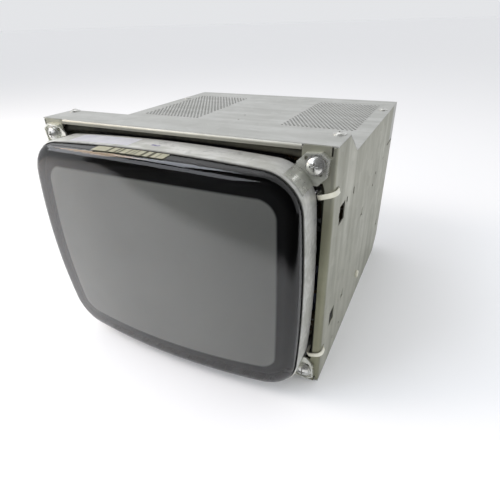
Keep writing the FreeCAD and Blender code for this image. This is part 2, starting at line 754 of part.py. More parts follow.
def front_lip():
    """The rounded front edge of the roof with its lip, between the corner tabs."""
    half = TAB_INNER_X - SEAM
    block = box(-half, half, 0, SHEET + SEAM + LIP_FOLD, HEIGHT - LIP_HEIGHT, HEIGHT)
    block = rounded(block, LIP_FOLD, lambda e: e.BoundBox.XLength > half and e.BoundBox.ZMin > HEIGHT - 0.1
                    and e.BoundBox.YMax < 0.1)
    hollow = box(-half - 1, half + 1, SHEET, 20, HEIGHT - LIP_HEIGHT - 1, HEIGHT - SHEET)
    hollow = rounded(hollow, LIP_FOLD - SHEET, lambda e: e.BoundBox.XLength > half
                     and e.BoundBox.YMax < SHEET + 0.1 and e.BoundBox.ZMin > HEIGHT - SHEET - 0.1)
    return block.cut(hollow)


def top_cover():
    start = SHEET + SEAM
    slope = [
        (start, STRIP_UNDER_Z),
        (start, HEIGHT),
        (STRIP_DEPTH, HEIGHT),
        (SLANT_END_Y + 0.4, ROOF_Z),
        (SLANT_END_Y + 0.4, ROOF_UNDER_Z),
        (SLANT_END_Y - 0.4, ROOF_UNDER_Z),
        (STRIP_DEPTH - 0.4, STRIP_UNDER_Z),
    ]
    front = prism_yz(slope, -HALF_W, HALF_W).fuse(front_lip())
    x, y, z = cover_screw_places()[0]
    holes = both_sides(rod(COVER_SCREW_R + SLACK, V(x, y, z - 5), V(x, y, z + 5)))
    for x, y in DIMPLES:
        holes.append(Part.makeSphere(DIMPLE_R, V(x, y, HEIGHT + DIMPLE_R - DIMPLE_DEPTH)))
    ear = box(HALF_W - SHEET, HALF_W, EAR_FRONT_Y, PANEL_REAR_Y, EAR_BOTTOM_Z, ROOF_UNDER_Z + SHEET / 2)
    return roof_sheet().fuse([cut(front, holes).removeSplitter()] + both_sides(ear))


def bottom_pan():
    start = SHEET + SEAM
    floor = [
        (start, 0),
        (DEPTH - HEEL, 0),
        (DEPTH, HEEL),
        (DEPTH, HEEL + BEVEL),
        (DEPTH - HEEL - BEVEL + SHEET, SHEET),
        (start, SHEET),
    ]
    pan = joined([prism_yz(floor, -HALF_W, HALF_W), mirrored_z(front_lip())])
    holes = []
    for x, y in rivet_places():
        holes += both_sides(rod(RIVET_R, V(x, y, -1), V(x, y, 9)))
    for x in (-MOUNT_SPAN_X / 2, MOUNT_SPAN_X / 2):
        for y in (MOUNT_FRONT_Y, MOUNT_FRONT_Y + MOUNT_SPAN_Y):
            holes.append(rod(MOUNT_HOLE_R, V(x, y, -1), V(x, y, 9)))
    for row in range(4):
        for column in range(-3, 4):
            y = 110.0 + 30.0 * row
            x = 28.0 * column
            holes.append(box(x - SLOT_W / 2, x + SLOT_W / 2, y, y + SLOT_H, -1, 9))
    return cut(pan, holes)


def rear_panel():
    low = HEEL + BEVEL + 0.2
    panel = box(-HALF_W, HALF_W, DEPTH - SHEET, DEPTH, low, ROOF_UNDER_Z - 0.1)
    holes = []
    for x, z in rear_screw_places():
        holes += both_sides(rod(REAR_SCREW_R + SLACK, V(x, DEPTH - 9, z), V(x, DEPTH + 9, z)))
    for row in range(9):
        z = 104.0 + LOUVRE_PITCH * row
        for centre in (-105.0, -35.0, 35.0, 105.0):
            holes.append(box(centre - LOUVRE_W / 2, centre + LOUVRE_W / 2, DEPTH - 9, DEPTH + 9, z, z + SLOT_H))
    for x in CONTROLS.values():
        holes.append(rod(SHAFT_R + 1.2, V(x, DEPTH - 9, CONTROL_Z), V(x, DEPTH + 9, CONTROL_Z)))
    holes.append(box(INLET_X - INLET_W / 2 - 0.3, INLET_X + INLET_W / 2 + 0.3, DEPTH - 9, DEPTH + 9,
                     CONTROL_Z - INLET_H / 2 - 0.3, CONTROL_Z + INLET_H / 2 + 0.3))
    holes.append(box(SIGNAL_X - SHELL_W / 2 - 1, SIGNAL_X + SHELL_W / 2 + 1, DEPTH - 9, DEPTH + 9,
                     CONTROL_Z - SHELL_H / 2 - 1, CONTROL_Z + SHELL_H / 2 + 1))
    small = [(INLET_X - INLET_SCREW_X, CONTROL_Z, 1.5), (INLET_X + INLET_SCREW_X, CONTROL_Z, 1.5)]
    small += [(SIGNAL_X - POST_X, CONTROL_Z, 1.5), (SIGNAL_X + POST_X, CONTROL_Z, 1.5)]
    small += [(FUSE_X, CONTROL_Z, FUSE_BODY_R + 0.2), (EARTH_X, EARTH_Z, EARTH_R)]
    holes += [rod(r, V(x, DEPTH - 9, z), V(x, DEPTH + 9, z)) for x, z, r in small]
    return cut(panel, holes)


def cover_screws():
    screws = []
    for x, y, z in cover_screw_places():
        piece = screw(COVER_SCREW_R, SHEET * 2 + 2.5, COVER_SCREW_HEAD_R, COVER_SCREW_HEAD_H)
        washer = pipe(COVER_WASHER_R, COVER_SCREW_R, V(0, 0, 0), V(0, 0, COVER_WASHER))
        screws += both_sides(aimed(piece.fuse(washer), V(x, y, z), Z_AXIS))
    return Part.makeCompound(screws)


def bottom_rivets():
    rivets = []
    for x, y in rivet_places():
        shank = rod(RIVET_R, V(x, y, 0.1), V(x, y, 2 * SHEET))
        head = rod(RIVET_R * 1.8, V(x, y, 2 * SHEET), V(x, y, 2 * SHEET + 1))
        rivets += both_sides(shank.fuse(head))
    return Part.makeCompound(rivets)


def rear_hardware():
    """Rear panel screws, mains inlet screws, connector posts and the earth stud."""
    pieces = []
    for x, z in rear_screw_places():
        pieces += both_sides(aimed(screw(REAR_SCREW_R, SHEET * 2 + 3, 4.0, 2.6), V(x, DEPTH, z), Y_AXIS))
    for x in (INLET_X - INLET_SCREW_X, INLET_X + INLET_SCREW_X):
        pieces.append(aimed(screw(1.4, 9, 2.8, 2.0), V(x, DEPTH + INLET_PLATE, CONTROL_Z), Y_AXIS))
    for x in (SIGNAL_X - POST_X, SIGNAL_X + POST_X):
        post = hexagon(4.8, 5.0, 1.2)
        shank = Part.makeCylinder(1.4, 6.0, V(0, 0, -6.0))
        pieces.append(aimed(post.fuse(shank), V(x, DEPTH + 1.0, CONTROL_Z), Y_AXIS))
    inside = 7.0
    stud = Part.makeCylinder(EARTH_R, inside + EARTH_REACH, V(0, 0, -inside))
    washer = Part.makeCylinder(4.6, EARTH_WASHER)
    nut = hexagon(7.0, EARTH_NUT, EARTH_R)
    nut.translate(V(0, 0, EARTH_WASHER))
    inner_nut = hexagon(7.0, EARTH_NUT, EARTH_R)
    inner_nut.translate(V(0, 0, -SHEET - EARTH_NUT))
    earth = joined([stud, washer, nut, inner_nut])
    pieces.append(aimed(earth, V(EARTH_X, DEPTH, EARTH_Z), Y_AXIS))
    return Part.makeCompound(pieces)


# ================================================================ picture tube
def faceplate():
    front_outline = barrel(GLASS_HALF_W - SKIRT_DRAFT, GLASS_HALF_H - SKIRT_DRAFT, SIDE_BOW_R, TOP_BOW_R,
                           GLASS_CORNER_R, FACE_Y - 6)
    band_zone = barrel(GLASS_HALF_W, GLASS_HALF_H, SIDE_BOW_R, TOP_BOW_R, GLASS_CORNER_R, BAND_FRONT_Y)
    band_end = barrel(GLASS_HALF_W, GLASS_HALF_H, SIDE_BOW_R, TOP_BOW_R, GLASS_CORNER_R, SKIRT_STRAIGHT_END)
    seal = seal_outline(0, SEAL_Y)
    block = Part.makeLoft([front_outline, band_zone, band_end, seal], True, True)
    glass = domed(block, FACE_Y, FACE_R, FACE_EDGE_R)
    hollow = slab(seal_outline(SKIRT_WALL, FACE_Y - 6), SEAL_Y - FACE_Y + 12)
    return glass.cut(domed(hollow, INNER_FACE_Y, INNER_FACE_R, INNER_EDGE_R))


def seal_outline(inset, y):
    drop = SEAL_STEP + inset
    return barrel(GLASS_HALF_W - drop, GLASS_HALF_H - drop, SIDE_BOW_R - drop, TOP_BOW_R - drop,
                  GLASS_CORNER_R - 1.6 * inset, y)


def dome_sheet(outline, apex_y, radius, wall):
    """A thin domed sheet with a given outline."""
    return slab(outline, 80).common(ball(apex_y, radius)).cut(ball(apex_y + wall, radius - wall))


def screen_outline(grow, y):
    return barrel(SCREEN_HALF_W + grow, SCREEN_HALF_H + grow, SCREEN_BOW_R, SCREEN_BOW_R * 1.4,
                  SCREEN_CORNER_R + grow, y)


def phosphor_screen():
    return dome_sheet(screen_outline(COATING_MARGIN, FACE_Y), INNER_FACE_Y + COATING_GAP, INNER_FACE_R, COATING)


def shadow_mask():
    return dome_sheet(screen_outline(0, MASK_Y - 4), MASK_Y, MASK_R, MASK_SHEET)


def mask_frame():
    """A rim round the mask, with a spring and stud to the glass at the middle of each side."""
    rim_grow = 5.0
    depth = FRAME_REAR_Y - FRAME_FRONT_Y
    rim = slab(screen_outline(rim_grow, FRAME_FRONT_Y), depth)
    rim = rim.cut(slab(screen_outline(0.2, FRAME_FRONT_Y - 1), depth + 2))
    groove = slab(screen_outline(rim_grow + 1, FRAME_FRONT_Y + 1.6), depth)
    groove = groove.cut(slab(screen_outline(1.8, FRAME_FRONT_Y + 1.5), depth + 2))
    pieces = [rim.cut(groove)]
    inner_w = GLASS_HALF_W - SEAL_STEP - SKIRT_WALL
    inner_h = GLASS_HALF_H - SEAL_STEP - SKIRT_WALL
    spring_y = FRAME_FRONT_Y + 6
    for x, z in ((1, 0), (-1, 0), (0, 1), (0, -1)):
        start = V(x * (SCREEN_HALF_W + 1), spring_y, TUBE_Z + z * (SCREEN_HALF_H + 1))
        end = V(x * (inner_w - 0.1), spring_y, TUBE_Z + z * (inner_h - 0.1))
        pieces.append(rod(2.0, start, end))
    return joined(pieces)


def shield_outline(half_w, half_h, corner_r, y):
    return barrel(half_w, half_h, SCREEN_BOW_R, SCREEN_BOW_R * 1.4, corner_r, y)


def internal_shield():
    """A thin sheet hood inside the funnel, from the mask frame towards the yoke."""
    front_w = SCREEN_HALF_W + 7
    front_h = SCREEN_HALF_H + 7
    rear_w = SCREEN_HALF_W * 0.64
    rear_h = SCREEN_HALF_H * 0.64
    wall = SHIELD_WALL
    front_y = FRAME_REAR_Y + 0.1
    outer = Part.makeLoft([shield_outline(front_w, front_h, 22, front_y),
                           shield_outline(rear_w, rear_h, 22, SHIELD_REAR_Y)], True, True)
    front = shield_outline(front_w - wall, front_h - wall, 22 - wall, front_y - 0.1)
    rear = shield_outline(rear_w - wall, rear_h - wall, 22 - wall, SHIELD_REAR_Y + 0.1)
    return outer.cut(Part.makeLoft([front, rear], True, True))


def funnel_section(along, inset):
    """Outline of the funnel at a share of its length, 0 at the seal and 1 at the neck."""
    fall = (1 + math.cos(math.pi * along)) / 2
    seal_w = GLASS_HALF_W - SEAL_STEP
    seal_h = GLASS_HALF_H - SEAL_STEP
    half_w = NECK_R + (seal_w - NECK_R) * fall
    half_h = NECK_R + (seal_h - NECK_R) * fall
    mean = (half_w + half_h) / 2
    roundness = min(1.0, along / 0.7)
    half_w += (mean - half_w) * roundness
    half_h += (mean - half_h) * roundness
    bow = (1 - roundness) ** 2
    side_r = half_w * 1.02 + (SIDE_BOW_R - half_w) * bow
    top_r = half_h * 1.02 + (TOP_BOW_R - half_h) * bow
    corner_r = GLASS_CORNER_R * (1 - roundness) + 0.9 * mean * roundness
    y = SEAL_Y + (NECK_START_Y - SEAL_Y) * along
    return barrel(half_w - inset, half_h - inset, side_r - inset, top_r - inset, corner_r - inset * 0.9, y)


def glass_radius(y):
    """Radius of the round rear part of the funnel, and of the neck behind it."""
    along = min(1.0, (y - SEAL_Y) / (NECK_START_Y - SEAL_Y))
    fall = (1 + math.cos(math.pi * along)) / 2
    seal_mean = (GLASS_HALF_W + GLASS_HALF_H) / 2 - SEAL_STEP
    return NECK_R + (seal_mean - NECK_R) * fall


def funnel_solid(inset_at_seal, inset_at_neck, overshoot=0.0):
    sections = []
    for station in FUNNEL_STATIONS:
        along = station * (1 + 2 * overshoot) - overshoot
        inset = inset_at_seal + (inset_at_neck - inset_at_seal) * station
        sections.append(funnel_section(along, inset))
    return Part.makeLoft(sections, True, False)


def funnel():
    return funnel_solid(0, 0).cut(funnel_solid(FUNNEL_WALL, NECK_WALL, OVERSHOOT))


def neck():
    start = V(0, NECK_START_Y + 0.05, TUBE_Z)
    end = V(0, NECK_END_Y, TUBE_Z)
    stem_front = V(0, NECK_END_Y - STEM, TUBE_Z)
    return rod(NECK_R, start, end).cut(rod(NECK_R - NECK_WALL, start, stem_front))


def pin_angles():
    return [20 + 320 / (PIN_COUNT - 1) * i for i in range(PIN_COUNT)]


def crt_base():
    """The moulded base behind the neck, with its ring of pins and the exhaust tip cover."""
    disc = rod(NECK_R - 0.6, V(0, NECK_END_Y + 0.05, TUBE_Z), V(0, NECK_END_Y + BASE, TUBE_Z))
    boss = rod(3.6, V(0, NECK_END_Y + BASE, TUBE_Z), V(0, NECK_END_Y + BASE + 7, TUBE_Z))
    rear = NECK_END_Y + BASE
    pins = [rod(PIN_R, on_tube(PIN_CIRCLE_R, a, rear), on_tube(PIN_CIRCLE_R, a, rear + PIN_LENGTH))
            for a in pin_angles()]
    return joined([disc, boss] + pins)


def electron_gun():
    """Cathodes, grids and convergence cup on their glass rods, held by fingers against the neck."""
    stem_y = NECK_END_Y - STEM
    pieces = [rod(r, V(0, stem_y - start, TUBE_Z), V(0, stem_y - start + length, TUBE_Z))
              for start, length, r in GUN_STAGES]
    gun_length = GUN_STAGES[-1][0]
    spine = rod(3.0, V(0, stem_y - gun_length, TUBE_Z), V(0, stem_y - 4, TUBE_Z))
    cup = rod(8.4, V(0, stem_y - gun_length - 1, TUBE_Z), V(0, stem_y - gun_length + 8, TUBE_Z))
    glass_rods = [rod(GUN_ROD_R, on_tube(GUN_ROD_CIRCLE_R, a, stem_y - 92),
                      on_tube(GUN_ROD_CIRCLE_R, a, stem_y - 6)) for a in (0, 180)]
    lead_r = PIN_CIRCLE_R - 1.2
    leads = [rod(PIN_R, on_tube(lead_r, a, stem_y - 5), on_tube(lead_r, a, stem_y - 0.05))
             for a in pin_angles()]
    fingers = [rod(0.8, on_tube(9.5, a, stem_y - 97), on_tube(NECK_R - NECK_WALL - 0.4, a, stem_y - 99))
               for a in GUN_FINGERS]
    return joined(pieces[:-1] + [pieces[-1].cut(cup), spine] + glass_rods + leads + fingers)


def implosion_band():
    outer = slab(tube_outline(0, BAND_FRONT_Y), -BAND_FRONT_Y)
    band = outer.cut(slab(tube_outline(BAND_SHEET, BAND_FRONT_Y - 1), 2 - BAND_FRONT_Y))
    clip_x = -12.0
    clip_z = TUBE_Z - BAND_HALF_H
    clip = box(clip_x - 11, clip_x + 11, BAND_FRONT_Y + 8, -8, clip_z - 0.8, clip_z + 1)
    clip = clip.cut(slab(tube_outline(BAND_SHEET / 2, BAND_FRONT_Y - 1), 2 - BAND_FRONT_Y))
    return joined([band, clip])


def band_tape():
    front = BAND_FRONT_Y - 1.4
    depth = SKIRT_STRAIGHT_END - front
    outer = slab(tube_outline(BAND_SHEET + 0.02, front), depth)
    return outer.cut(slab(tube_outline(BAND_SHEET + TAPE - 0.02, front - 1), depth + 2))


def corner_lug():
    """Upper right lug: a plate on the corner tab and a leg lying on the band's corner."""
    centre = V(LUG_X, 0, TUBE_Z + LUG_Z)
    points = [V(centre.x + dx, 0, centre.z + dz) for dx, dz in LUG_OUTLINE]
    face = Part.Face(Part.makePolygon(points + points[:1]))
    plate = face.extrude(V(0, -LUG_SHEET, 0))
    upright = face.extrude(V(0, -LUG_SHEET - LUG_RIM_HEIGHT, 0))
    inner = [V(centre.x + dx * 0.9, 1, centre.z + dz * 0.9) for dx, dz in LUG_OUTLINE[:-1]]
    inner.append(V(centre.x - 26, 1, centre.z - 26))
    inner[0] = V(centre.x - 24, 1, centre.z + 2.5)
    inner[-2] = V(centre.x + 3.5, 1, centre.z - 25)
    hollow = Part.Face(Part.makePolygon(inner + inner[:1])).extrude(V(0, -20, 0))
    rim = upright.cut(hollow)
    leg_outer = slab(tube_outline(-LUG_SHEET * 0.8, -LUG_LEG - 1), LUG_LEG + 1)
    leg = leg_outer.cut(slab(tube_outline(-LUG_FIT, -LUG_LEG - 2), LUG_LEG + 3))
    corner = V(BAND_HALF_W - LUG_ON_BAND, 0, TUBE_Z + BAND_HALF_H - LUG_ON_BAND)
    tangent = V(1, 0, -1).normalize()
    normal = V(1, 0, 1).normalize()
    half = LUG_LEG_HALF_W
    shape = [corner.add(tangent * s).add(V(0, y, 0)) for s, y in
             ((-half, 0), (half, 0), (half, -LUG_LEG), (-half, -LUG_LEG))]
    shape = [point.sub(normal * 25) for point in shape]
    leg = leg.common(prism(shape, normal * 50))
    row = corner.add(V(0, -9.0, 0)).add(normal * 1.9)
    dimples = [Part.makeSphere(LUG_DIMPLE_R, row.add(tangent * s)) for s in LUG_DIMPLES]
    lug = joined([plate, rim.cut(leg_outer), leg])
    lug = lug.cut(slab(tube_outline(-LUG_FIT, -LUG_LEG - 2), LUG_LEG + 3))
    small = [V(centre.x + dx, 1, centre.z + dz) for dx, dz in LUG_SMALL_HOLES]
    holes = [rod(LUG_SMALL_HOLE_R, place, place.add(V(0, -9, 0))) for place in small]
    holes.append(rod(LUG_SCREW_R + SLACK, centre.add(V(0, 1, 0)), centre.add(V(0, -9, 0))))
    return cut(lug, holes + dimples)


def lug_screws():
    piece = screw(LUG_SCREW_R, LUG_SHEET + WASHER + SHEET + COLLAR + 0.3, LUG_HEAD_R, LUG_HEAD_H)
    place = V(LUG_X, -LUG_SHEET - WASHER, TUBE_Z + LUG_Z)
    return Part.makeCompound(at_corners(aimed(piece, place, V(0, -1, 0))))


def lug_washers():
    place = V(LUG_X, -LUG_SHEET, TUBE_Z + LUG_Z)
    washer = pipe(WASHER_R, LUG_SCREW_R + SLACK, place, place.sub(V(0, WASHER, 0)))
    return Part.makeCompound(at_corners(washer))


# ================================================================ coil, ties, cap, braid
def degaussing_coil():
    path = barrel(COIL_HALF_W, COIL_HALF_H, COIL_SIDE_BOW_R, COIL_TOP_BOW_R, COIL_CORNER_R, COIL_Y)
    start = path.Vertexes[0].Point
    first = path.Edges[0]
    section = Part.Wire([Part.makeCircle(COIL_R, start, first.tangentAt(first.FirstParameter))])
    return path.makePipeShell([section], True, False)


def tie_outline(grow):
    """Closed loop round the front flange and the coil, through the hole in the side."""
    left = HALF_W - TIE_REACH_IN - grow
    right = HALF_W + TIE_REACH_OUT + grow
    front = -TIE_FRONT_GAP - grow
    rear = TIE_HOLE_Y - TIE / 2 + grow
    loop = box(left, right, front, rear, 0, TIE_WIDTH)
    return rounded(loop, TIE_BEND_R + grow, lambda e: e.BoundBox.ZLength > 1)


def cable_ties():
    ties = []
    head_x = HALF_W - TIE_HEAD_IN
    head_y = TIE_HOLE_Y + TIE / 2
    for z in TIE_HEIGHTS:
        loop = tie_outline(TIE).cut(tie_outline(0))
        head = box(head_x - TIE_HEAD_W, head_x, head_y, head_y + TIE_HEAD_DEPTH, -0.8, TIE_WIDTH + 0.8)
        tie = joined([loop, head])
        tie.translate(V(0, 0, z - TIE_WIDTH / 2))
        tie.rotate(V(HALF_W, TIE_HOLE_Y, z), Y_AXIS, -TIE_TILT)
        ties += both_sides(tie)
    return Part.makeCompound(ties)


def funnel_top_z(y):
    """Height of the funnel's ridge at a depth."""
    along = (y - SEAL_Y) / (NECK_START_Y - SEAL_Y)
    return funnel_section(along, 0).BoundBox.ZMax


def anode_cap():
    z = funnel_top_z(CAP_Y)
    base = V(0, CAP_Y, z - 16)
    body = Part.makeCone(CAP_R, CAP_R * 0.5, 24, base, Z_AXIS)
    boss = rod(5.0, V(0, CAP_Y, z + 4), V(14.0, CAP_Y + 10.0, z + 4))
    return joined([body, boss]).cut(funnel_solid(-0.15, -0.15))


def anode_lead():
    z = funnel_top_z(CAP_Y) + 4
    top = MAIN_BOARD_Z + BOARD + FLYBACK_H
    points = [
        (14.3, CAP_Y + 10.2, z),
        (38, 90, z - 6),
        (70, 124, z - 24),
        (100, 158, z - 54),
        (112, 190, z - 84),
        (108, 214, top + 38),
        (FLYBACK_X + 6, FLYBACK_Y + 4, top + 24),
        (FLYBACK_X + 6, FLYBACK_Y + 4, top + 6.2),
    ]
    return cord(points, 4.6)


def ground_braid():
    """Tinned braid stretched under the funnel, its ends lying on the side panels' lower flanges."""
    y = SEAL_Y + 14
    radius = 1.2
    low = 2 * TUBE_Z - funnel_top_z(y) - radius - 0.3
    flange = 2 * SHEET + radius + 0.1
    end = HALF_W - FIXING_FLANGE + 2
    half = [
        (end, y + 12, flange),
        (end - 9, y + 10, flange),
        (end - 26, y + 4, flange + 5),
        (end - 52, y, low - 2.5),
    ]
    points = half + [(0, y, low)] + [(-x, py, z) for x, py, z in reversed(half)]
    return cord(points, 2 * radius)


# ================================================================ yoke and magnets
def cone_layer(inner, wall, front_y, rear_y):
    """(y, radius) outline of a layer that follows the glass."""
    steps = 9
    stations = [front_y + (rear_y - front_y) * i / steps for i in range(steps + 1)]
    low = [(y, glass_radius(y) + inner) for y in stations]
    high = [(y, glass_radius(y) + inner + wall) for y in reversed(stations)]
    return low + high


def horizontal_coils():
    """Two saddle coils inside the liner, top and bottom."""
    layer = cone_layer(GLASS_GAP, COIL_LAYER, YOKE_FRONT_Y + 2, YOKE_REAR_Y - 3)
    return Part.makeCompound([turned(layer, -82, 164), turned(layer, 98, 164)])


def vertical_coils():
    """Two saddle coils outside the liner, left and right, with raised end turns in front."""
    layer = cone_layer(OUTER_COIL_IN, COIL_LAYER, YOKE_FRONT_Y + 3.2, YOKE_REAR_Y - 3)
    return Part.makeCompound([turned(layer, 8, 164), turned(layer, 188, 164)])


def yoke_liner():
    cone = turned(cone_layer(LINER_IN, LINER, YOKE_FRONT_Y, YOKE_REAR_Y))
    front_r = glass_radius(YOKE_FRONT_Y) + LINER_IN + 0.4
    flange = washer_about_tube(YOKE_FRONT_Y - 2.5, YOKE_FRONT_Y, front_r, YOKE_FLANGE_R)
    rear_r = glass_radius(YOKE_REAR_Y) + LINER_IN + LINER
    wall = washer_about_tube(YOKE_REAR_Y - 0.5, YOKE_REAR_Y + 1.5, SLEEVE_R, rear_r + 6)
    sleeve = washer_about_tube(YOKE_REAR_Y, YOKE_SLEEVE_END, SLEEVE_R, HOLDER_R)
    slits = [box(-0.8, 0.8, YOKE_REAR_Y + 3, YOKE_SLEEVE_END + 1, TUBE_Z - 20, TUBE_Z + 20),
             box(-20, 20, YOKE_REAR_Y + 3, YOKE_SLEEVE_END + 1, TUBE_Z - 0.8, TUBE_Z + 0.8)]
    return cut(joined([cone, flange, wall, sleeve]), slits)


def yoke_core():
    """The ferrite ring, in two halves held by spring clips."""
    layer = cone_layer(CORE_IN, CORE_WALL, CORE_FRONT_Y, CORE_REAR_Y)
    return Part.makeCompound([turned(layer, 0.4, 179.2), turned(layer, 180.4, 179.2)])


def clamp_ring(y, inner_r):
    """A split steel ring with two ears and a tightening screw above the tube."""
    ring = washer_about_tube(y, y + 6, inner_r, inner_r + 1.2)
    ring = ring.cut(box(-1.5, 1.5, y - 1, y + 7, TUBE_Z, TUBE_Z + 60))
    top = TUBE_Z + inner_r
    ear = box(1.5, 3.0, y, y + 6, top + 0.3, top + 9)
    clamp = joined([ring] + both_sides(ear))
    clamp = clamp.cut(rod(1.6, V(-9, y + 3, top + 5), V(9, y + 3, top + 5)))
    bolt = aimed(screw(1.5, 9.5, 2.8, 2.0), V(3.0, y + 3, top + 5), X_AXIS)
    return [clamp, bolt]


def yoke_clamp():
    return Part.makeCompound(clamp_ring(YOKE_REAR_Y + 6.5, HOLDER_R + CLAMP_FIT))


def yoke_wedges():
    """Rubber wedges between the liner's flange and the funnel."""
    glass = funnel_solid(-0.1, -0.1)
    wedges = []
    for angle in (0, 120, 240):
        block = box(-8, 8, YOKE_FRONT_Y - 16, YOKE_FRONT_Y - 2.5, TUBE_Z + 58, TUBE_Z + 70)
        block.rotate(V(0, 0, TUBE_Z), Y_AXIS, angle)
        wedges.append(block.cut(glass))
    return Part.makeCompound(wedges)


def magnet_y(index):
    """Front face of a ring: three pairs, with a spacer after each pair."""
    return MAGNET_START_Y + index * RING_PITCH + index // 2 * SPACER_PITCH


def ring(y, wall, outer_r):
    return washer_about_tube(y, y + wall, HOLDER_R + RUNNING_FIT, outer_r)


def magnet_ring(index):
    """A flat ring magnet with one tab that carries as many notches as its pair's number."""
    y = magnet_y(index)
    angle = -60 + 34 * index
    tab = box(-MAGNET_TAB_WIDTH / 2, MAGNET_TAB_WIDTH / 2, y, y + MAGNET_WALL, TUBE_Z + MAGNET_R - 2,
              TUBE_Z + MAGNET_TAB_REACH)
    notches = [box(-0.5 + s, 0.5 + s, y - 1, y + MAGNET_WALL + 1, TUBE_Z + MAGNET_TAB_REACH - 1.2,
                   TUBE_Z + MAGNET_TAB_REACH + 1) for s in (-2, 0, 2)[:index // 2 + 1]]
    tab = cut(tab, notches)
    tab.rotate(V(0, 0, TUBE_Z), Y_AXIS, angle)
    return joined([ring(y, MAGNET_WALL, MAGNET_R), tab])


def magnet_holder():
    """The sleeve on the neck with its front flange, fixed spacers and rear clamp."""
    start = MAGNET_START_Y - MAGNET_GAP - 2
    sleeve = washer_about_tube(start, HOLDER_END_Y, SLEEVE_R, HOLDER_R)
    flange = washer_about_tube(start, start + 2, HOLDER_R - 0.5, MAGNET_R)
    spacers = []
    for pair in (1, 2, 3):
        y = magnet_y(2 * pair) - MAGNET_GAP - MAGNET_SPACER
        spacers.append(washer_about_tube(y, y + MAGNET_SPACER, HOLDER_R - 0.5, MAGNET_R - 3))
    slits = [box(-0.8, 0.8, HOLDER_END_Y - 9, HOLDER_END_Y + 1, TUBE_Z - 20, TUBE_Z + 20)]
    holder = cut(joined([sleeve, flange] + spacers), slits)
    return Part.makeCompound([holder] + clamp_ring(HOLDER_END_Y - 7, HOLDER_R + CLAMP_FIT))


def lock_ring():
    """The knurled ring that locks the magnets."""
    body = ring(LOCK_RING_Y, LOCK_RING, MAGNET_R - 1)
    grip_r = MAGNET_R - 0.6
    grips = [rod(1.1, on_tube(grip_r, 20 * i, LOCK_RING_Y - 1), on_tube(grip_r, 20 * i, LOCK_RING_Y + 9))
             for i in range(18)]
    return cut(body, grips)


# ================================================================ neck board
def crt_socket():
    body = rod(16.5, V(0, SOCKET_Y, TUBE_Z), V(0, NECK_BOARD_Y - 0.05, TUBE_Z))
    chin = box(-9, 9, SOCKET_Y, NECK_BOARD_Y - 0.05, TUBE_Z - 24, TUBE_Z - 10)
    holes = [rod(PIN_R + 0.15, on_tube(PIN_CIRCLE_R, a, SOCKET_Y - 1), on_tube(PIN_CIRCLE_R, a, SOCKET_Y + 8))
             for a in pin_angles()]
    holes.append(rod(4.1, V(0, SOCKET_Y - 1, TUBE_Z), V(0, NECK_BOARD_Y - 1.5, TUBE_Z)))
    return cut(joined([body, chin]), holes)


def neck_board():
    """The board on the tube socket, with three output transistors, resistors and plugs."""
    rear = NECK_BOARD_Y + BOARD
    plate = box(-52, 52, NECK_BOARD_Y, rear, TUBE_Z - 48, TUBE_Z + 40)
    parts = [plate]
    for i in range(3):
        x = -34 + 34 * i
        parts.append(box(x - 9, x + 9, rear, rear + 1.6, TUBE_Z + 10, TUBE_Z + 34))
        parts.append(box(x - 4, x + 4, rear + 1.6, rear + 4.4, TUBE_Z + 12, TUBE_Z + 23))
    for i in range(6):
        x = -40 + 16 * i
        parts.append(rod(2.2, V(x, rear + 2.2, TUBE_Z - 12), V(x, rear + 2.2, TUBE_Z + 2)))
    for x in (-38, 38):
        parts.append(rod(5.0, V(x, rear, TUBE_Z - 26), V(x, rear + 12, TUBE_Z - 26)))
    for x, z, w, h, length in ((0, TUBE_Z - 38, 24, 8, 9), (-30, TUBE_Z - 42, 14, 6, 8)):
        parts.append(box(x - w / 2, x + w / 2, rear, rear + length, z - h / 2, z + h / 2))
    return Part.makeCompound(parts)


# ================================================================ main board
def main_board():
    plate = box(-MAIN_BOARD_HALF_W, MAIN_BOARD_HALF_W, MAIN_BOARD_FRONT_Y, MAIN_BOARD_REAR_Y,
                MAIN_BOARD_Z, BOARD_TOP)
    holes = [rod(SPACER_R - 1.4, V(x, y, 0), V(x, y, 30)) for x, y in spacer_places()]
    return cut(plate, holes)


def spacer_places():
    inset = 8.0
    x = MAIN_BOARD_HALF_W - inset
    rows = (MAIN_BOARD_FRONT_Y + inset, (MAIN_BOARD_FRONT_Y + MAIN_BOARD_REAR_Y) / 2, MAIN_BOARD_REAR_Y - 16)
    return [(side * x, y) for y in rows for side in (-1, 1)]


def nylon_spacers():
    """Snap-in pillars under the main board, and the pillar whose head shows in the right side."""
    spacers = []
    for x, y in spacer_places():
        pillar = rod(SPACER_R, V(x, y, SHEET), V(x, y, MAIN_BOARD_Z))
        tip = rod(SPACER_R - 1.5, V(x, y, MAIN_BOARD_Z), V(x, y, BOARD_TOP + 3))
        barb = Part.makeCone(SPACER_R - 0.9, SPACER_R - 2.2, 2.6, V(x, y, BOARD_TOP + 0.1), Z_AXIS)
        spacers.append(joined([pillar, tip, barb]))
    inside = HALF_W - SHEET
    head = rounded(rod(5.2, V(HALF_W, SPACER_Y, SPACER_Z), V(HALF_W + 3.0, SPACER_Y, SPACER_Z)), 1.4,
                   lambda e: e.BoundBox.XMin > HALF_W + 2.9)
    stem = rod(2.9, V(inside - 5, SPACER_Y, SPACER_Z), V(HALF_W, SPACER_Y, SPACER_Z))
    barb = rod(4.0, V(inside - 4, SPACER_Y, SPACER_Z), V(inside - 0.1, SPACER_Y, SPACER_Z))
    spacers += both_sides(joined([head, stem, barb]))
    return Part.makeCompound(spacers)


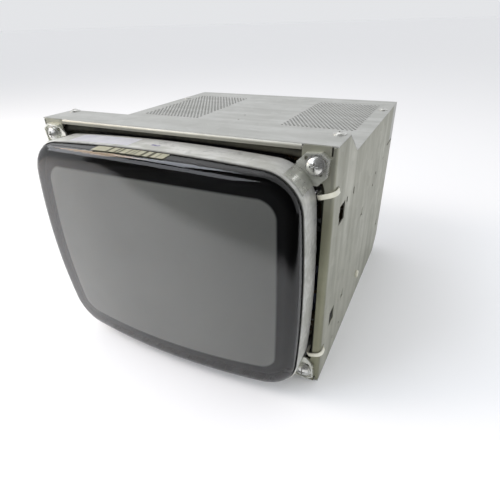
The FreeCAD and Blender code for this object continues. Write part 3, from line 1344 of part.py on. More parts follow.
def flyback_transformer():
    """The high-tension block with its bobbin, ferrite core and adjuster housing."""
    x0 = FLYBACK_X - FLYBACK_W / 2
    x1 = FLYBACK_X + FLYBACK_W / 2
    y0 = FLYBACK_Y - FLYBACK_D / 2
    y1 = FLYBACK_Y + FLYBACK_D / 2
    top = BOARD_TOP + FLYBACK_H
    block = box(x0, x1, y0, y1, BOARD_TOP, top)
    block = rounded(block, 5.0, lambda e: e.BoundBox.ZLength > 20)
    tower = rod(9.0, V(FLYBACK_X + 6, FLYBACK_Y + 4, top - 1), V(FLYBACK_X + 6, FLYBACK_Y + 4, top + 6))
    housing = box(x0 + 4, x1 - 4, y1 - 1, y1 + FLYBACK_HOUSING, BOARD_TOP + 8, BOARD_TOP + 52)
    heights = [BOARD_TOP + height for height in FLYBACK_KNOBS.values()]
    bores = [rod(SHAFT_R + RUNNING_FIT, V(FLYBACK_X, y1 + 2, z), V(FLYBACK_X, y1 + 12, z)) for z in heights]
    body = joined([block, tower, housing])
    core_outer = box(x0 - 14, x0 - 0.2, FLYBACK_Y - 8, FLYBACK_Y + 8, BOARD_TOP, BOARD_TOP + 56)
    core_window = box(x0 - 6, x0 + 1, FLYBACK_Y - 9, FLYBACK_Y + 9, BOARD_TOP + 14, BOARD_TOP + 42)
    return Part.makeCompound([cut(body, bores), core_outer.cut(core_window)])


def small_knob(x, y, z, radius, length, shaft_length):
    """A knob along +y with a ribbed rim and a pointer slot, on a shaft that reaches forward."""
    knob = rod(radius, V(x, y, z), V(x, y + length, z))
    rib_r = radius * 0.13
    ribs = []
    for i in range(12):
        turn = math.radians(30 * i + 15)
        px = x + radius * math.cos(turn)
        pz = z + radius * math.sin(turn)
        ribs.append(rod(rib_r, V(px, y + 1, pz), V(px, y + length + 1, pz)))
    slot = box(x - 0.6, x + 0.6, y + length - 1.0, y + length + 1, z - radius * 0.1, z + radius * 0.95)
    shaft = rod(SHAFT_R, V(x, y - shaft_length, z), V(x, y + 0.5, z))
    return joined([cut(knob, ribs + [slot]), shaft])


def flyback_knob(name):
    y = FLYBACK_Y + FLYBACK_D / 2 + FLYBACK_HOUSING + FLYBACK_KNOB_GAP
    return small_knob(FLYBACK_X, y, BOARD_TOP + FLYBACK_KNOBS[name], 7.5, 8.0, 7.0)


def can(x, y, radius, height):
    """An upright electrolytic capacitor with its crimp groove."""
    body = rod(radius, V(x, y, BOARD_TOP), V(x, y, BOARD_TOP + height))
    groove_z = BOARD_TOP + 4
    groove = pipe(radius + 1, radius - 0.7, V(x, y, groove_z), V(x, y, groove_z + 1.2))
    return rounded(body, 0.8, lambda e: e.BoundBox.ZMin > BOARD_TOP + height - 0.1).cut(groove)


def capacitors():
    return Part.makeCompound([can(*values) for values in CANS])


def heatsink(x, y0, y1, height, direction):
    """An upright finned plate with its power transistors on the plain side."""
    top = BOARD_TOP + height
    back = x + 3 * direction
    tip = x + 11 * direction
    plate = box(min(x, back), max(x, back), y0, y1, BOARD_TOP, top)
    fins = []
    count = int((y1 - y0) / FIN_PITCH)
    for i in range(count):
        y = y0 + FIN_PITCH / 3 + i * FIN_PITCH
        fins.append(box(min(back, tip), max(back, tip), y, y + FIN, BOARD_TOP + 3, top))
    return joined([plate] + fins)


def heatsinks():
    return Part.makeCompound([heatsink(*values) for values in HEATSINKS])


def board_parts():
    """Line transformer, driver coils, integrated circuits, sockets and power transistors."""
    parts = []
    transformer = rounded(box(-104, -70, 214, 254, BOARD_TOP, BOARD_TOP + 32), 2.0,
                          lambda e: e.BoundBox.ZLength > 20)
    yoke = box(-110, -64, 228, 240, BOARD_TOP + 4, BOARD_TOP + 40)
    parts.append(joined([transformer, yoke]))
    parts.append(joined([rod(9, V(-84, 118, BOARD_TOP), V(-84, 118, BOARD_TOP + 4)),
                         rod(6, V(-84, 118, BOARD_TOP + 3), V(-84, 118, BOARD_TOP + 20)),
                         rod(9, V(-84, 118, BOARD_TOP + 19), V(-84, 118, BOARD_TOP + 22))]))
    parts.append(pipe(11, 5, V(60, 188, BOARD_TOP), V(60, 188, BOARD_TOP + 12)))
    left_sink, right_sink = HEATSINKS
    for i in range(3):
        y = left_sink[1] + 14 + 32 * i
        parts.append(box(left_sink[0] + 0.1, left_sink[0] + 5, y, y + 12, BOARD_TOP + 20, BOARD_TOP + 38))
    y = right_sink[1] + 8
    parts.append(box(right_sink[0] - 5, right_sink[0] - 0.1, y, y + 16, BOARD_TOP + 16, BOARD_TOP + 36))
    for places, height in ((CHIPS, CHIP_H), (PLUGS, PLUG_H)):
        for x, y, w, d in places:
            parts.append(box(x - w / 2, x + w / 2, y - d / 2, y + d / 2, BOARD_TOP, BOARD_TOP + height))
    resistor_z = BOARD_TOP + RESISTOR_R
    for i in range(10):
        x = -50 + RESISTOR_PITCH * i
        parts.append(rod(RESISTOR_R, V(x, 88, resistor_z), V(x + 7, 88, resistor_z)))
    return Part.makeCompound(parts)


# ================================================================ rear panel fittings
def control_board():
    """A small upright board with a rotary control behind each knob."""
    rear = CONTROL_BOARD_Y + BOARD
    low = min(CONTROLS.values()) - 18
    high = max(CONTROLS.values()) + 14
    plate = box(low, high, CONTROL_BOARD_Y, rear, BOARD_TOP, CONTROL_Z + 16)
    parts = [plate]
    for x in CONTROLS.values():
        case = rod(8.0, V(x, rear, CONTROL_Z), V(x, rear + 9, CONTROL_Z))
        bush = rod(4.6, V(x, rear + 8, CONTROL_Z), V(x, rear + 14, CONTROL_Z))
        bore = rod(SHAFT_R + RUNNING_FIT, V(x, rear + 4, CONTROL_Z), V(x, rear + 16, CONTROL_Z))
        parts.append(joined([case, bush]).cut(bore))
    return Part.makeCompound(parts)


def control_knob(name):
    reach = KNOB_START_Y - (CONTROL_BOARD_Y + BOARD + 5)
    return small_knob(CONTROLS[name], KNOB_START_Y, CONTROL_Z, CONTROL_KNOB_R, CONTROL_KNOB_LENGTH, reach)


def mains_inlet():
    """A three-pole mains inlet: flange, body with chamfered top corners, and three flat pins."""
    front = DEPTH + INLET_PLATE
    plate = box(INLET_X - 25, INLET_X + 25, DEPTH, front, CONTROL_Z - 11.5, CONTROL_Z + 11.5)
    plate = rounded(plate, 5.0, lambda e: e.BoundBox.YLength > 1)
    body = box(INLET_X - INLET_W / 2, INLET_X + INLET_W / 2, DEPTH - 18, DEPTH + 0.5,
               CONTROL_Z - INLET_H / 2, CONTROL_Z + INLET_H / 2)
    half_w = INLET_CAVITY_W / 2
    half_h = INLET_CAVITY_H / 2
    bevel = 5.0
    outline = [(-half_w, -half_h), (half_w, -half_h), (half_w, half_h - bevel), (half_w - bevel, half_h),
               (-half_w + bevel, half_h), (-half_w, half_h - bevel)]
    cavity = prism_xz([(INLET_X + x, CONTROL_Z + z) for x, z in outline], front - INLET_CAVITY_DEPTH, front + 1)
    holes = [rod(1.7, V(INLET_X + s * INLET_SCREW_X, DEPTH - 1, CONTROL_Z),
                 V(INLET_X + s * INLET_SCREW_X, front + 1, CONTROL_Z)) for s in (-1, 1)]
    shell = cut(joined([plate, body]), [cavity] + holes)
    pins = []
    tags = []
    for dx, dz in INLET_PINS:
        x = INLET_X + dx
        z = CONTROL_Z + dz
        pins.append(box(x - 1, x + 1, front - INLET_CAVITY_DEPTH - 1, front - 1.5, z - 2, z + 2))
        tags.append(box(x - 2.4, x + 2.4, DEPTH - 25, DEPTH - 17.5, z - 0.4, z + 0.4))
    return joined([shell] + pins + tags)


def shell_points(grow):
    top = SHELL_W / 2 + grow
    low = SHELL_W / 2 - 1.4 + grow
    half_h = SHELL_H / 2 + grow
    return [(SIGNAL_X - top, CONTROL_Z + half_h), (SIGNAL_X + top, CONTROL_Z + half_h),
            (SIGNAL_X + low, CONTROL_Z - half_h), (SIGNAL_X - low, CONTROL_Z - half_h)]


def signal_connector():
    """A fifteen-way socket: flange, shell and moulded insert with three rows of holes."""
    flange = box(SIGNAL_X - 15.4, SIGNAL_X + 15.4, DEPTH, DEPTH + 1.0, CONTROL_Z - 6.2, CONTROL_Z + 6.2)
    flange = rounded(flange, 1.5, lambda e: e.BoundBox.YLength > 0.9)
    shell = prism_xz(shell_points(0), DEPTH - SHEET - 3, DEPTH + SHELL_REACH)
    insert_body = prism_xz(shell_points(-0.8), DEPTH - 12, DEPTH + 5.4)
    post_holes = [rod(1.5, V(x, DEPTH - 1, CONTROL_Z), V(x, DEPTH + 2, CONTROL_Z))
                  for x in (SIGNAL_X - POST_X, SIGNAL_X + POST_X)]
    contacts = []
    for row in range(3):
        for i in range(5):
            x = SIGNAL_X + (i - 2) * 2.3 + (0.55 if row == 1 else -0.1)
            z = CONTROL_Z + (row - 1) * 2.0
            contacts.append(rod(0.5, V(x, DEPTH, z), V(x, DEPTH + 7, z)))
    return cut(joined([flange, shell, insert_body]), post_holes + contacts)


def fuse_holder():
    plate = rod(FUSE_CAP_R + 1, V(FUSE_X, DEPTH, CONTROL_Z), V(FUSE_X, DEPTH + FUSE_PLATE, CONTROL_Z))
    body = rod(FUSE_BODY_R, V(FUSE_X, DEPTH - 30, CONTROL_Z), V(FUSE_X, DEPTH + 0.5, CONTROL_Z))
    bore = rod(FUSE_PLUG_R + RUNNING_FIT, V(FUSE_X, DEPTH - 12, CONTROL_Z), V(FUSE_X, DEPTH + 9, CONTROL_Z))
    nut = aimed(hexagon(17.0, 3.5, FUSE_BODY_R - 0.1), V(FUSE_X, DEPTH - SHEET - 3.5, CONTROL_Z), Y_AXIS)
    return joined([plate, body, nut]).cut(bore)


def fuse_cap():
    start = DEPTH + FUSE_PLATE + CAP_GAP
    cap = rod(FUSE_CAP_R - 0.6, V(FUSE_X, start, CONTROL_Z), V(FUSE_X, start + 6, CONTROL_Z))
    ribs = []
    for i in range(16):
        turn = math.radians(22.5 * i)
        px = FUSE_X + (FUSE_CAP_R - 0.6) * math.cos(turn)
        pz = CONTROL_Z + (FUSE_CAP_R - 0.6) * math.sin(turn)
        ribs.append(rod(0.6, V(px, start + 1, pz), V(px, start + 7, pz)))
    slot = box(FUSE_X - 4.5, FUSE_X + 4.5, start + 4.8, start + 7, CONTROL_Z - 0.7, CONTROL_Z + 0.7)
    plug = rod(FUSE_PLUG_R, V(FUSE_X, DEPTH - 11, CONTROL_Z), V(FUSE_X, start + 0.5, CONTROL_Z))
    return joined([cut(cap, ribs + [slot]), plug])


# ================================================================ wiring
def wiring():
    """Looms that are held at both ends: mains, neck board, yoke, coil and signal leads."""
    plug_top = BOARD_TOP + PLUG_H + 0.2
    rear = NECK_BOARD_Y + BOARD
    mains = [
        (INLET_X, DEPTH - 25.3, CONTROL_Z + 2),
        (INLET_X, DEPTH - 34, CONTROL_Z + 2),
        (INLET_X + 4, 297, CONTROL_Z - 12),
        (INLET_X + 6, 296, plug_top + 9),
        (INLET_X + 6, 296, plug_top),
    ]
    neck_loom = [
        (0, rear + 9.2, TUBE_Z - 38),
        (0, rear + 18, TUBE_Z - 38),
        (2, rear + 18, TUBE_Z - 56),
        (12, 276, 56),
        (20, 244, 44),
        (20, 222, 40),
        (20, 222, plug_top),
    ]
    yoke_loom = [
        (-62, YOKE_FRONT_Y + 1.5, TUBE_Z - 30),
        (-58, YOKE_FRONT_Y + 14, TUBE_Z - 46),
        (-48, 150, TUBE_Z - 66),
        (-38, 190, 48),
        (-36, 222, 42),
        (-36, 222, plug_top),
    ]
    coil_x = -COIL_HALF_W + 0.8
    coil_loom = [
        (coil_x, COIL_Y + COIL_R + 0.2, 75),
        (coil_x, 28, 75),
        (-152, 54, 62),
        (-134, 84, 48),
        (-126, 100, 42),
        (-126, 100, plug_top),
    ]
    signal = [
        (SIGNAL_X, DEPTH - 12.2, CONTROL_Z),
        (SIGNAL_X, DEPTH - 24, CONTROL_Z),
        (SIGNAL_X - 2, 290, CONTROL_Z - 12),
        (-24, 254, 42),
        (-25, 222, 40),
        (-25, 222, plug_top),
    ]
    looms = ((mains, 6.0), (neck_loom, 6.0), (yoke_loom, 4.5), (coil_loom, 4.0), (signal, 4.5))
    return Part.makeCompound([cord(points, diameter) for points, diameter in looms])


def build_all():
    right = side_panel()
    save("side_panel_right", right)
    save("side_panel_left", mirrored_x(right))
    save("top_cover", top_cover())
    save("bottom_pan", bottom_pan())
    save("rear_panel", rear_panel())
    save("cover_screws", cover_screws())
    save("rear_hardware", rear_hardware())
    save("bottom_rivets", bottom_rivets())
    save("corner_lugs", Part.makeCompound(at_corners(corner_lug())))
    save("lug_screws", lug_screws())
    save("lug_washers", lug_washers())
    save("implosion_band", implosion_band())
    save("band_tape", band_tape())
    save("crt_faceplate", faceplate())
    save("phosphor_screen", phosphor_screen())
    save("shadow_mask", shadow_mask())
    save("mask_frame", mask_frame())
    save("internal_shield", internal_shield())
    save("crt_funnel", funnel())
    save("crt_neck", neck())
    save("crt_base", crt_base())
    save("electron_gun", electron_gun())
    save("anode_cap", anode_cap())
    save("anode_lead", anode_lead())
    save("ground_braid", ground_braid())
    save("degaussing_coil", degaussing_coil())
    save("cable_ties", cable_ties())
    save("yoke_liner", yoke_liner())
    save("horizontal_coils", horizontal_coils())
    save("vertical_coils", vertical_coils())
    save("yoke_core", yoke_core())
    save("yoke_clamp", yoke_clamp())
    save("yoke_wedges", yoke_wedges())
    save("magnet_holder", magnet_holder())
    for index, name in enumerate(MAGNETS):
        save(name, magnet_ring(index))
    save("lock_ring", lock_ring())
    save("crt_socket", crt_socket())
    save("neck_board", neck_board())
    save("main_board", main_board())
    save("nylon_spacers", nylon_spacers())
    save("flyback_transformer", flyback_transformer())
    for name in FLYBACK_KNOBS:
        save(name, flyback_knob(name))
    save("capacitors", capacitors())
    save("heatsinks", heatsinks())
    save("board_parts", board_parts())
    save("control_board", control_board())
    for name in CONTROLS:
        save(name, control_knob(name))
    save("mains_inlet", mains_inlet())
    save("signal_connector", signal_connector())
    save("fuse_holder", fuse_holder())
    save("fuse_cap", fuse_cap())
    save("wiring", wiring())


os.makedirs("parts", exist_ok=True)
build_all()
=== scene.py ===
"""Looks of a display unit: a picture tube in its open sheet-steel chassis.  Metres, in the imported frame."""

import math

import bmesh
import bpy
from mathutils import Matrix, Vector


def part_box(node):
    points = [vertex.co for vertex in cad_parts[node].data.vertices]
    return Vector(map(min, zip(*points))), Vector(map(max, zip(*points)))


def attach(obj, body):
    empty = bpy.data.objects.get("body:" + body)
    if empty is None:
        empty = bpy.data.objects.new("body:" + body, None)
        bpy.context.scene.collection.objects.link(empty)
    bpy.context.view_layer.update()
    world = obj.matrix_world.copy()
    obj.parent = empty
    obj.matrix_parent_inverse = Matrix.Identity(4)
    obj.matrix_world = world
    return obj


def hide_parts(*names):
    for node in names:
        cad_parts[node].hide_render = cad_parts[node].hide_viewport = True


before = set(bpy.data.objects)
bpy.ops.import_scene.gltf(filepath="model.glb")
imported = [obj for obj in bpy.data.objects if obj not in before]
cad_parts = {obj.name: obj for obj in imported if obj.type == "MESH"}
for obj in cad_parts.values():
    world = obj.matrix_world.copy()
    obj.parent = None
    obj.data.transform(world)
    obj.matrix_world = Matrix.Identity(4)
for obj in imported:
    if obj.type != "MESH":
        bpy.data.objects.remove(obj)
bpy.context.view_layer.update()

MM = 0.001
GLASS_LOW, GLASS_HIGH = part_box("crt_faceplate")
BAND_LOW, BAND_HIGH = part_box("implosion_band")
COIL_LOW, COIL_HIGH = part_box("degaussing_coil")
FRONT_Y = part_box("side_panel_right")[0].y  # front face of the chassis
TUBE_Z = (GLASS_LOW.z + GLASS_HIGH.z) / 2
FACE_Y = GLASS_LOW.y

# the glass: its bowed outline, its two domes, and the skirt that the band grips
SIDE_BOW_R = 1130 * MM
TOP_BOW_R = 1960 * MM
GLASS_CORNER_R = 36.6 * MM
LEAST_CORNER_R = 4 * MM
FACE_R = 1010 * MM
INNER_FACE_R = 700 * MM
FACE_WALL = 9 * MM
SKIRT_WALL = 9 * MM
SKIRT_DRAFT = 0.8 * MM
SEAL_STEP = 3.2 * MM                       # the skirt narrows to the seal over its last length
SEAL_LENGTH = 4 * MM
EDGE_REACH = 11 * MM                       # the face rolls over its edge in an ellipse
EDGE_FALL = 5.5 * MM
INNER_EDGE_R = 5 * MM
DOME_RINGS = 22
EDGE_RINGS = 14
ARC_POINTS = 32                            # points along each arc of an outline

# the coating inside the glass, and the screen in it
COATING_SINK = 0.1 * MM                    # the coating is one with the glass
COATING_END = 1 * MM                       # it stops short of the seal
SCREEN_HALF_W = 130 * MM
SCREEN_HALF_H = 96.5 * MM
SCREEN_CORNER_R = 16 * MM
SCREEN_SIDE_BOW_R = 1300 * MM
SCREEN_TOP_BOW_R = 1820 * MM
SCREEN_EDGE = (-1.6 * MM, 1.2 * MM)        # the grey fades into the black border across its edge

# the wrapped coil behind the glass
COIL_R = 4.3 * MM
COIL_SIDE_BOW_R = 2040 * MM
COIL_TOP_BOW_R = 3200 * MM
COIL_CORNER_R = 32 * MM
COIL_ARC_POINTS = 12
COIL_SIDES = 16
WRAP_PITCH = 9 * MM
WRAP_STEP = 0.35 * MM
WRAP_POINTS = 8.0                          # points along each turn of tape

# the two paper labels on top of the tube
PAPER = 0.12 * MM
PAPER_COLUMNS = 24
PAPER_ROWS = 2
BAND_WALL = 1.4 * MM
BAND_LABEL_X = (-99 * MM, -23 * MM)
BAND_LABEL_Y = (BAND_LOW.y + 3 * MM, BAND_HIGH.y - 4 * MM)
BAND_LABEL_LIFT = 0.15 * MM
GLASS_LABEL_X = (-53 * MM, 29 * MM)
GLASS_LABEL_Y = (BAND_LOW.y - 13 * MM, BAND_LOW.y - 2 * MM)
GLASS_LABEL_LIFT = 0.18 * MM
GLASS_LABEL_DIP = 0.55 * MM                # its front edge follows the skirt down

# the ink stamp on the band
STAMP_CENTRE = Vector((2.3 * MM, BAND_LOW.y + 13 * MM))
STAMP_HALF_X = 6.5 * MM
STAMP_HALF_Y = 3 * MM
STAMP_LOW = (TUBE_Z + 100 * MM, TUBE_Z + 110 * MM)
STAMP_INK = (0.13, 0.11, 0.30)

# how far a noise spreads round its middle, for tone and for stains
TONE_SPAN = (0.34, 0.66)
STAIN_SPAN = (0.52, 0.72)

# the tinted front edges of the chassis, yellowish and darker as painted shade on the front: the colour, where
# it is full, where it is gone, and its top if it has one
OLIVE_TINT_AND_SHADE = ((0.17, 0.17, 0.10), FRONT_Y + 2 * MM, FRONT_Y + 10 * MM, 235 * MM)
CREAM_TINT_AND_SHADE = ((0.23, 0.22, 0.165), FRONT_Y + 0.2 * MM, FRONT_Y + 2 * MM, None)
SHADE_TINT_FADE = 45 * MM                        # the tinted painted shade thins out over this height below its top

# the floor, and the black cards: the soft slanted edge that both start at
FLOOR_HALF = 60.0
CARD_SKEW = 0.51
CARD_EDGE = (0.50, 0.66)
LOW_CARD_HALF = 3.0
LOW_CARD_LIFT = 1 * MM
FRONT_CARD_HALF = 4.0
FRONT_CARD_TOP = 2.4
FRONT_CARD_Y = -1.7

# the lamps: name, place, target, width, height, watts, colour
LAMPS = (
    ("overhead", (-0.3, 0.2, 1.8), (0, 0, 0.1), 1.2, 1.2, 3, (1, 1, 1)),
    ("left_window", (-1.7, -0.3, 1.2), (0, -0.1, 0.15), 0.6, 0.8, 3, (0.93, 0.96, 1.0)),
    ("warm_panel", (-1.6, -0.80, 1.4), (0, -0.1, 0.2), 0.75, 0.75, 9, (1.0, 0.74, 0.50)),
    ("low_strip", (-0.8, -1.25, 0.75), (0, -0.2, 0.25), 2.0, 0.45, 7, (0.90, 0.93, 1.0)),
    ("cool_panel", (-0.75, -0.80, 1.4), (0, -0.1, 0.2), 0.75, 0.75, 9, (0.86, 0.91, 1.0)))

# the viewer: its place, how it is turned, raised and rolled in degrees, its lens and sensor in millimetres
EYE = Vector((0.2350, -0.43655, 0.3479))
EYE_TURN, EYE_RISE, EYE_ROLL = 27.009, 30.811, -1.832
LENS = 27.65
SENSOR = 36


# ---------------------------------------------------------------- outlines and meshes
def barrel(half_w, half_h, side_r, top_r, corner_r, arc_points=ARC_POINTS):
    """Closed (x, z) outline: bowed sides, bowed top and bottom, round corners, all tangent."""
    side_x = half_w - side_r
    top_z = half_h - top_r
    side_reach = side_r - corner_r
    top_reach = top_r - corner_r
    span = math.hypot(side_x, top_z)
    along = (side_reach ** 2 - top_reach ** 2 + span ** 2) / (2 * span)
    across = math.sqrt(side_reach ** 2 - along ** 2)
    ux, uz = -side_x / span, top_z / span
    corners = [(side_x + ux * along + s * uz * across, uz * along - s * ux * across) for s in (1, -1)]
    cx, cz = max(corners, key=lambda p: p[0] + p[1])
    low = math.atan2(cz, cx - side_x)
    high = math.atan2(cz - top_z, cx)
    quarter = []
    for x, z, radius, start, end in ((side_x, 0, side_r, 0, low), (cx, cz, corner_r, low, high),
                                     (0, top_z, top_r, high, math.pi / 2)):
        for i in range(arc_points):
            angle = start + (end - start) * i / arc_points
            quarter.append((x + radius * math.cos(angle), z + radius * math.sin(angle)))
    quarter.append((0, half_h))
    upper = quarter + [(-x, z) for x, z in reversed(quarter[:-1])]
    return upper + [(x, -z) for x, z in reversed(upper[1:-1])]


def glass_outline(inset):
    half_w = GLASS_HIGH.x - inset
    half_h = GLASS_HIGH.z - TUBE_Z - inset
    corner_r = max(GLASS_CORNER_R - inset, LEAST_CORNER_R)
    return barrel(half_w, half_h, SIDE_BOW_R - inset, TOP_BOW_R - inset, corner_r)


def dome_y(apex_y, radius, x, z):
    return apex_y + radius - math.sqrt(radius ** 2 - x ** 2 - z ** 2)


def domed_rings(inset, apex_y, radius, reach, drop):
    """Rings over a dome from near its middle to its rounded edge, as lists of points."""
    made = []
    rim = glass_outline(inset + reach)
    for i in range(1, DOME_RINGS + 1):
        share = i / DOME_RINGS
        made.append([Vector((x * share, dome_y(apex_y, radius, x * share, z * share), z * share + TUBE_Z))
                     for x, z in rim])
    for i in range(1, EDGE_RINGS + 1):
        turn = math.pi / 2 * i / EDGE_RINGS
        outline = glass_outline(inset + reach * (1 - math.sin(turn)))
        fall = drop * (1 - math.cos(turn))
        made.append([Vector((x, dome_y(apex_y, radius, x, z) + fall, z + TUBE_Z)) for x, z in outline])
    return made


def ring_at(inset, y):
    return [Vector((x, y, z + TUBE_Z)) for x, z in glass_outline(inset)]


def linked(name, data):
    """A new object of the scene that holds a mesh, a lamp or a camera."""
    made = bpy.data.objects.new(name, data)
    bpy.context.scene.collection.objects.link(made)
    return made


def finished(name, bm):
    """The object made from a bmesh, its faces turned outwards."""
    bmesh.ops.recalc_face_normals(bm, faces=bm.faces)
    mesh = bpy.data.meshes.new(name)
    bm.to_mesh(mesh)
    bm.free()
    return linked(name, mesh)


def skinned(name, rings, first_pole, last_pole=None):
    """A smooth skin over rings of equal length, closed at a pole before the first or at both ends."""
    bm = bmesh.new()
    levels = [[bm.verts.new(point) for point in ring] for ring in rings]
    for low, high in zip(levels, levels[1:]):
        for i in range(len(low)):
            bm.faces.new((low[i - 1], low[i], high[i], high[i - 1]))
    for pole, level in ((first_pole, levels[0]), (last_pole, levels[-1])):
        if pole is None:
            continue
        tip = bm.verts.new(pole)
        for i in range(len(level)):
            bm.faces.new((tip, level[i], level[i - 1]))
    for face in bm.faces:
        face.smooth = True
    return finished(name, bm)


def face_glass():
    """The thick front glass: dome, rounded edge and skirt outside, and its hollow inside."""
    outer = domed_rings(SKIRT_DRAFT, FACE_Y, FACE_R, EDGE_REACH, EDGE_FALL)
    edge_y = max(point.y for point in outer[-1])
    outer.append(ring_at(SKIRT_DRAFT / 2, (edge_y + BAND_LOW.y) / 2))
    outer.append(ring_at(0, BAND_LOW.y))
    outer.append(ring_at(0, BAND_HIGH.y - SEAL_LENGTH))
    outer.append(ring_at(SEAL_STEP, GLASS_HIGH.y))
    inset = SEAL_STEP + SKIRT_WALL
    hollow_y = FACE_Y + FACE_WALL
    hollow = domed_rings(inset, hollow_y, INNER_FACE_R, INNER_EDGE_R, INNER_EDGE_R)
    hollow.append(ring_at(inset, GLASS_HIGH.y))
    poles = Vector((0, FACE_Y, TUBE_Z)), Vector((0, hollow_y, TUBE_Z))
    return skinned("face_glass", outer + hollow[::-1], *poles)


def screen_coating():
    """The thin coating inside the glass: the screen, and the black border round it."""
    inset = SEAL_STEP + SKIRT_WALL - COATING_SINK
    apex_y = FACE_Y + FACE_WALL - COATING_SINK
    rings = domed_rings(inset, apex_y, INNER_FACE_R, INNER_EDGE_R, INNER_EDGE_R)
    rings.append(ring_at(inset, GLASS_HIGH.y - COATING_END))
    return skinned("screen_coating", rings, Vector((0, apex_y, TUBE_Z)))


def top_patch(name, x_ends, y_ends, lift, bow_r, top_z, dip=0.0):
    """A thin paper patch lying on a bowed top surface, its front edge lower by the dip."""
    bm = bmesh.new()
    grid = []
    for i in range(PAPER_COLUMNS + 1):
        x = x_ends[0] + (x_ends[1] - x_ends[0]) * i / PAPER_COLUMNS
        z = top_z - bow_r + math.sqrt(bow_r ** 2 - x ** 2) + lift
        column = []
        for j in range(PAPER_ROWS + 1):
            share = j / PAPER_ROWS
            y = y_ends[0] + (y_ends[1] - y_ends[0]) * share
            column.append(bm.verts.new((x, y, z - dip * (1 - share))))
        grid.append(column)
    for left, right in zip(grid, grid[1:]):
        for j in range(PAPER_ROWS):
            bm.faces.new((left[j], right[j], right[j + 1], left[j + 1]))
    bmesh.ops.solidify(bm, geom=bm.faces[:], thickness=-PAPER)
    return finished(name, bm)


# ---------------------------------------------------------------- node helpers
def set_socket(tree, socket, value):
    """An input takes a link from another socket, or a value; a colour is an (r, g, b)."""
    if isinstance(value, bpy.types.NodeSocket):
        tree.links.new(value, socket)
    elif socket.type == "RGBA":
        socket.default_value = (*value, 1)
    else:
        socket.default_value = value


def put(tree, kind, *values, **settings):
    """A node with its settings, then its first inputs in order, where None leaves one as it is."""
    made = tree.nodes.new(kind)
    for key, value in settings.items():
        setattr(made, key, value)
    for socket, value in zip(made.inputs, values):
        if value is not None:
            set_socket(tree, socket, value)
    return made


def feed(tree, node, **values):
    """Sets a node's inputs by name, with _ for each space."""
    for label, value in values.items():
        set_socket(tree, node.inputs[label.replace("_", " ")], value)
    return node


def calc(tree, operation, first, second=None):
    return put(tree, "ShaderNodeMath", first, second, operation=operation).outputs[0]


def calc_vector(tree, operation, first, second=None):
    return put(tree, "ShaderNodeVectorMath", first, second, operation=operation).outputs[0]


def spread(tree, value, low, high, to_low=0.0, to_high=1.0, smooth=True):
    """A value brought from low..high to to_low..to_high."""
    kind = "SMOOTHSTEP" if smooth else "LINEAR"
    made = put(tree, "ShaderNodeMapRange", value, low, high, to_low, to_high, interpolation_type=kind)
    return made.outputs["Result"]


def mixed(tree, share, first, second):
    """Two colours mixed: each is a socket or an (r, g, b)."""
    made = put(tree, "ShaderNodeMix", share, data_type="RGBA")
    set_socket(tree, made.inputs[6], first)
    set_socket(tree, made.inputs[7], second)
    return made.outputs[2]


def object_place(tree):
    return put(tree, "ShaderNodeTexCoord").outputs["Object"]


def object_axes(tree):
    return put(tree, "ShaderNodeSeparateXYZ", object_place(tree)).outputs


def noise(tree, place, scale, detail=2.0, roughness=0.5):
    made = put(tree, "ShaderNodeTexNoise")
    return feed(tree, made, Vector=place, Scale=scale, Detail=detail, Roughness=roughness).outputs[0]


def new_group(name, kind, inputs, outputs):
    """A node group and its ends; each input and output is a name, a kind and, for some, a default."""
    tree = bpy.data.node_groups.new(name, kind)
    for in_out, rows in (("INPUT", inputs), ("OUTPUT", outputs)):
        for label, socket_kind, *default in rows:
            socket = tree.interface.new_socket(label, in_out=in_out, socket_type="NodeSocket" + socket_kind)
            if default:
                socket.default_value = default[0]
    return tree, tree.nodes.new("NodeGroupInput").outputs, tree.nodes.new("NodeGroupOutput").inputs


# ---------------------------------------------------------------- the coil's turns of tape
def noted(tree, shape, name, value, kind="FLOAT"):
    """The shape with a value noted on each of its points."""
    made = put(tree, "GeometryNodeStoreNamedAttribute", shape, None, name, value, data_type=kind,
               domain="POINT")
    return made.outputs[0]


def read_back(tree, name, kind="FLOAT"):
    return put(tree, "GeometryNodeInputNamedAttribute", name, data_type=kind).outputs[0]


